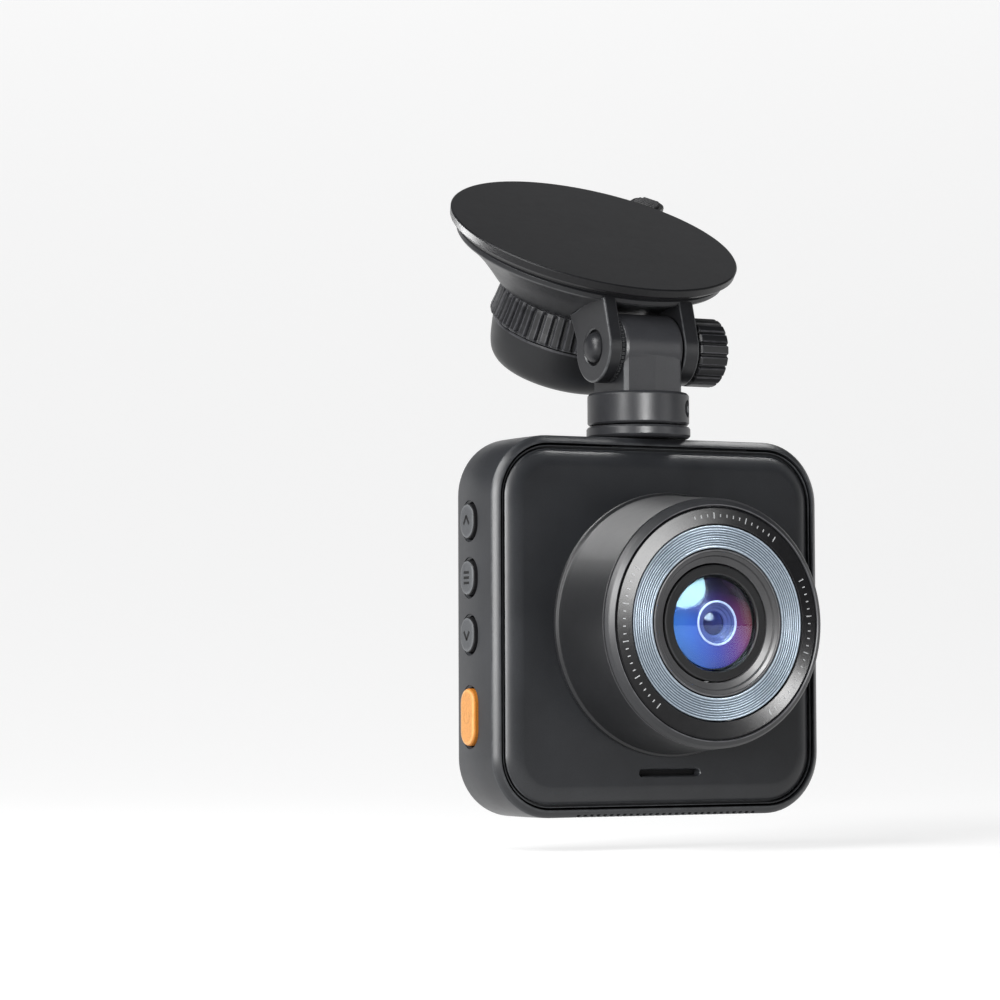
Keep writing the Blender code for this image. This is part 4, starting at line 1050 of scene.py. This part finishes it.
tw = make("twist_grip", lathe_bm(fil([
    (13.4, -21.0), (13.4, -13.95), (16.1, -13.95, 0.15), (16.62, -14.15, 0.2), (16.85, -15.0, 0.3), (17.45, -18.4, 0.5), (17.9, -20.3, 0.3),
    (17.75, -20.8, 0.2), (17.2, -21.0, 0.1)], closed=True, n=3), CUP, 42 * 12, rfn=knurl), "grip_plastic")
place(tw, "twist_grip", "grip_plastic", "twist_ring", angle=30)
cap_curve = curve_through([(16.95, -21.9), (16.75, -24.4), (16.4, -27.0), (15.7, -29.1), (14.3, -30.6), (12.0, -31.4),
                           (8.0, -31.85), (4.0, -31.98), (0, -32.0)], 4)
cp = make("grip_cap", lathe_bm(
    [(14.6, -21.3), (16.6, -21.3), (16.88, -21.42), (16.95, -21.65)] + cap_curve[:-1] +
    [(0.0, -32.0), (0.0, -29.8), (12.6, -29.2), (14.2, -27.2)], CUP, 128), "grip_plastic")
place(cp, "twist_grip", "grip_plastic", "ring_cap", angle=35)

# --------------------------------------------------------------------------
# tilt clamp: bolt head, detent teeth, thumb nut
bolt = make("clamp_bolt", lathe_bm(fil([
    (0, -12.05), (0.9, -12.0), (1.7, -11.78), (2.35, -11.4), (2.85, -10.85), (3.12, -10.3, 0.15), (3.12, -9.62, 0.1), (1.9, -9.6), (1.9, 13.9), (1.5, 14.4), (0, 14.4)]),
    PIVOT, 64, closed=False), "mount_plastic")
place(bolt, "holder", "black_steel", "pivot_bolt", angle=40)


def tooth(r, h, t):
    return r - 0.28 * wave(t, 52, 0.5, 0.25) if r > 6 else r


teeth = make("detent_teeth", lathe_bm([(7.15, -7.62), (7.15, -7.02), (4.0, -7.02), (4.0, -7.62)], PIVOT, 416, rfn=tooth), "mount_plastic")
place(teeth, "holder", "mount_plastic", "detent_ring", angle=30, weighted=False)


def flute(r, h, t):
    if r < 6.0:
        return r
    return r - 0.55 * wave(t, 18, 0.64, 0.12)


knob = make("tilt_knob", lathe_bm(fil([
    (0, 17.5), (4.6, 17.5, 0.1), (4.9, 17.75, 0.1), (6.45, 17.75, 0.15), (7.08, 17.35, 0.3), (7.08, 11.35, 0.3), (6.6, 10.9, 0.2),
    (4.3, 10.9), (4.3, 15.0), (0, 15.0)], n=4), PIVOT, 18 * 16, closed=False, rfn=flute), "grip_plastic")
place(knob, "clamp_nut", "grip_plastic", "thumb_nut", angle=30)

# --------------------------------------------------------------------------
# the nodes that stay as CAD made them
KEEP = {
    "lens_holder": "lens_black", "aperture_ring": "steel", "lens_element_2": "lens_glass", "lens_element_3": "lens_glass",
    "ir_filter": "filter_glass", "image_sensor": "chip_black", "sensor_board": "board_green", "main_board": "board_green",
    "processor_chip": "chip_black", "thermal_pad": "pad_grey", "heat_spreader": "cell_silver", "battery": "cell_silver",
    "speaker": "chip_black", "microphone": "cell_silver", "card_socket": "cell_silver", "memory_card": "chip_black",
    "usb_socket": "steel", "button_board": "board_green", "switch_up": "cell_silver", "switch_menu": "cell_silver",
    "switch_down": "cell_silver", "switch_power": "cell_silver", "lcd_frame": "steel", "lcd_panel": "lens_black",
    "case_screw_1": "steel", "case_screw_2": "steel", "case_screw_3": "steel", "case_screw_4": "steel",
    "retaining_pin": "steel", "draw_stem": "grip_plastic", "clamp_washer": "steel", "nut_insert": "brass",
}
for name, mat in KEEP.items():
    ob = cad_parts[name]
    for s in ob.material_slots:
        s.material = MAT[mat]

# --------------------------------------------------------------------------
# stage, lights, camera
FLOOR = -0.1275


def stage_material(name, col, rough):
    m, nt, p, vec = new_mat(name)
    n1 = noise(nt, vec, 30.0, 3)
    nt.links.new(mix(nt, n1, [c * 0.985 for c in col], col), p.inputs["Base Color"])
    nt.links.new(rng(nt, noise(nt, vec, 300, 3), 0.3, 0.7, rough - 0.05, rough + 0.05), p.inputs["Roughness"])
    p.inputs["Specular IOR Level"].default_value = 0.1
    p.inputs["Emission Color"].default_value = (1, 1, 1, 1)
    p.inputs["Emission Strength"].default_value = 0.76
    return m


def sweep():
    """Pale floor that curves up into a backdrop behind the object."""
    bm = bmesh.new()
    prof = [(-1.6, FLOOR), (0.30, FLOOR)]
    for k in range(1, 25):
        a = math.radians(90 * k / 24)
        prof.append((0.30 + 0.75 * math.sin(a), FLOOR + 0.45 * (1 - math.cos(a))))
    prof.append((1.06, 0.44))
    ang = math.radians(-27.4)
    rows = []
    for s in (-3.0, 3.0):
        row = []
        for d, z in prof:
            x, y = s, d
            row.append(bm.verts.new((x * math.cos(ang) - y * math.sin(ang), x * math.sin(ang) + y * math.cos(ang), z)))
        rows.append(row)
    for k in range(len(prof) - 1):
        bm.faces.new((rows[0][k], rows[1][k], rows[1][k + 1], rows[0][k + 1]))
    me = bpy.data.meshes.new("studio_sweep")
    bm.to_mesh(me)
    bm.free()
    for p in me.polygons:
        p.use_smooth = True
    ob = bpy.data.objects.new("studio_sweep", me)
    COL.objects.link(ob)
    me.materials.append(stage_material("pale_paper", (0.30, 0.30, 0.30), 0.85))


sweep()

world = bpy.data.worlds.new("studio")
bpy.context.scene.world = world
world.use_nodes = True
bg = world.node_tree.nodes["Background"]
bg.inputs["Color"].default_value = (0.80, 0.84, 0.90, 1)
bg.inputs["Strength"].default_value = 0.07

AIM = TO_WORLD @ Vector((0, 0, 20))


def light(name, az, el, dist, size, power, color=(1, 1, 1), aim=None, shape="RECTANGLE", spread=180,
          only=None, shadow=True):
    """Area light seen from the object at azimuth az (0 = in front, positive to +X) and elevation el."""
    d = bpy.data.lights.new(name, "AREA")
    d.shape = shape
    d.size, d.size_y = size if isinstance(size, tuple) else (size, size)
    d.energy = power
    d.color = color
    d.spread = math.radians(spread)
    d.use_shadow = shadow
    o = bpy.data.objects.new(name, d)
    a, e = math.radians(az), math.radians(el)
    at = aim if aim is not None else AIM
    way = Vector((math.sin(a) * math.cos(e), -math.cos(a) * math.cos(e), math.sin(e)))
    o.location = at + way * dist
    o.rotation_euler = way.to_track_quat("Z", "Y").to_euler()
    o.visible_camera = False
    COL.objects.link(o)
    if only:
        c = bpy.data.collections.new(name + "_lit")
        for ob in only:
            c.objects.link(ob)
        o.light_linking.receiver_collection = c
    return o


LENS_AT = TO_WORLD @ Vector((LX, -28, LZ))
light("key_left", -76, 40, 0.75, (0.46, 0.42), 6.5)
light("edge_left", -64, 5, 0.75, (0.15, 0.42), 3.6)
light("edge_case", -64, 5, 0.75, (0.15, 0.42), 5.5, only=[shell, cover])
light("top_right", 98, 60, 0.60, (0.26, 0.20), 6.0, only=[cover])
light("top_case", 98, 60, 0.60, (0.26, 0.20), 1.5, only=[shell])
light("rim_left", -150, 5, 0.60, (0.22, 0.20), 2.8, only=[pad])
light("neck_front", 36, 8, 0.75, (0.30, 0.30), 0.8, only=[neck, foot, knob, bell])
light("collar_glint", -14, 4, 0.60, (0.08, 0.26), 5.0, only=[neck, foot])
light("cup_sheen", 142, 38, 0.6, (0.45, 0.25), 0.10)
light("fill_right", 75, 15, 0.9, (0.4, 0.5), 0.3)
light("glass_window", -8, 42, 0.62, 0.58, 20.0, (0.72, 0.95, 1.0), LENS_AT, "DISK", only=[glass])
light("pupil_spot", 4, 29, 0.62, (0.10, 0.10), 0.9, (0.95, 0.97, 1.0), LENS_AT, only=[pl, pw])
light("cone_glint", 3, 21, 0.60, (0.08, 0.10), 6.0, (1, 1, 1), LENS_AT, only=[cone])
light("ring_high", 21, 9, 0.60, (0.18, 0.12), 2.9, (1, 1, 1), LENS_AT, only=[plate])
light("ring_low", 39.6, -5.7, 0.20, (0.040, 0.020), 0.15, (1, 1, 1), LENS_AT + Vector((0.015, 0, -0.015)), only=[plate])
light("rim_glint", -44, 20, 0.60, (0.20, 0.34), 7.0, (1, 1, 1), LENS_AT, only=[trim])
light("dial_top", 30, 44, 0.60, (0.2, 0.2), 3.6, (1, 1, 1), LENS_AT, only=[grooved])
light("dial_left", -8, 4, 0.60, (0.12, 0.3), 0.35, (1, 1, 1), LENS_AT, only=[grooved])
light("barrel_glow", -177, 34, 0.60, (0.22, 0.12), 2.8, (1, 1, 1), LENS_AT, only=[barrel], shadow=False)

cam_data = bpy.data.cameras.new("camera")
cam_data.sensor_width = 36
cam_data.lens = 122.46
cam_data.clip_start = 0.02
cam = bpy.data.objects.new("camera", cam_data)
COL.objects.link(cam)
yaw, pitch, roll = math.radians(-27.367), math.radians(-3.205), math.radians(-0.2087)
back = Vector((math.sin(yaw) * math.cos(pitch), -math.cos(yaw) * math.cos(pitch), math.sin(pitch)))
right = Vector((math.cos(yaw), math.sin(yaw), 0))
up = back.cross(right)
cr = right * math.cos(roll) + up * math.sin(roll)
cu = up * math.cos(roll) - right * math.sin(roll)
cam.matrix_world = basis((-0.343950, -0.620946, -0.095603), cr, cu, back)
bpy.context.scene.camera = cam
bpy.context.scene.view_settings.view_transform = "Standard"
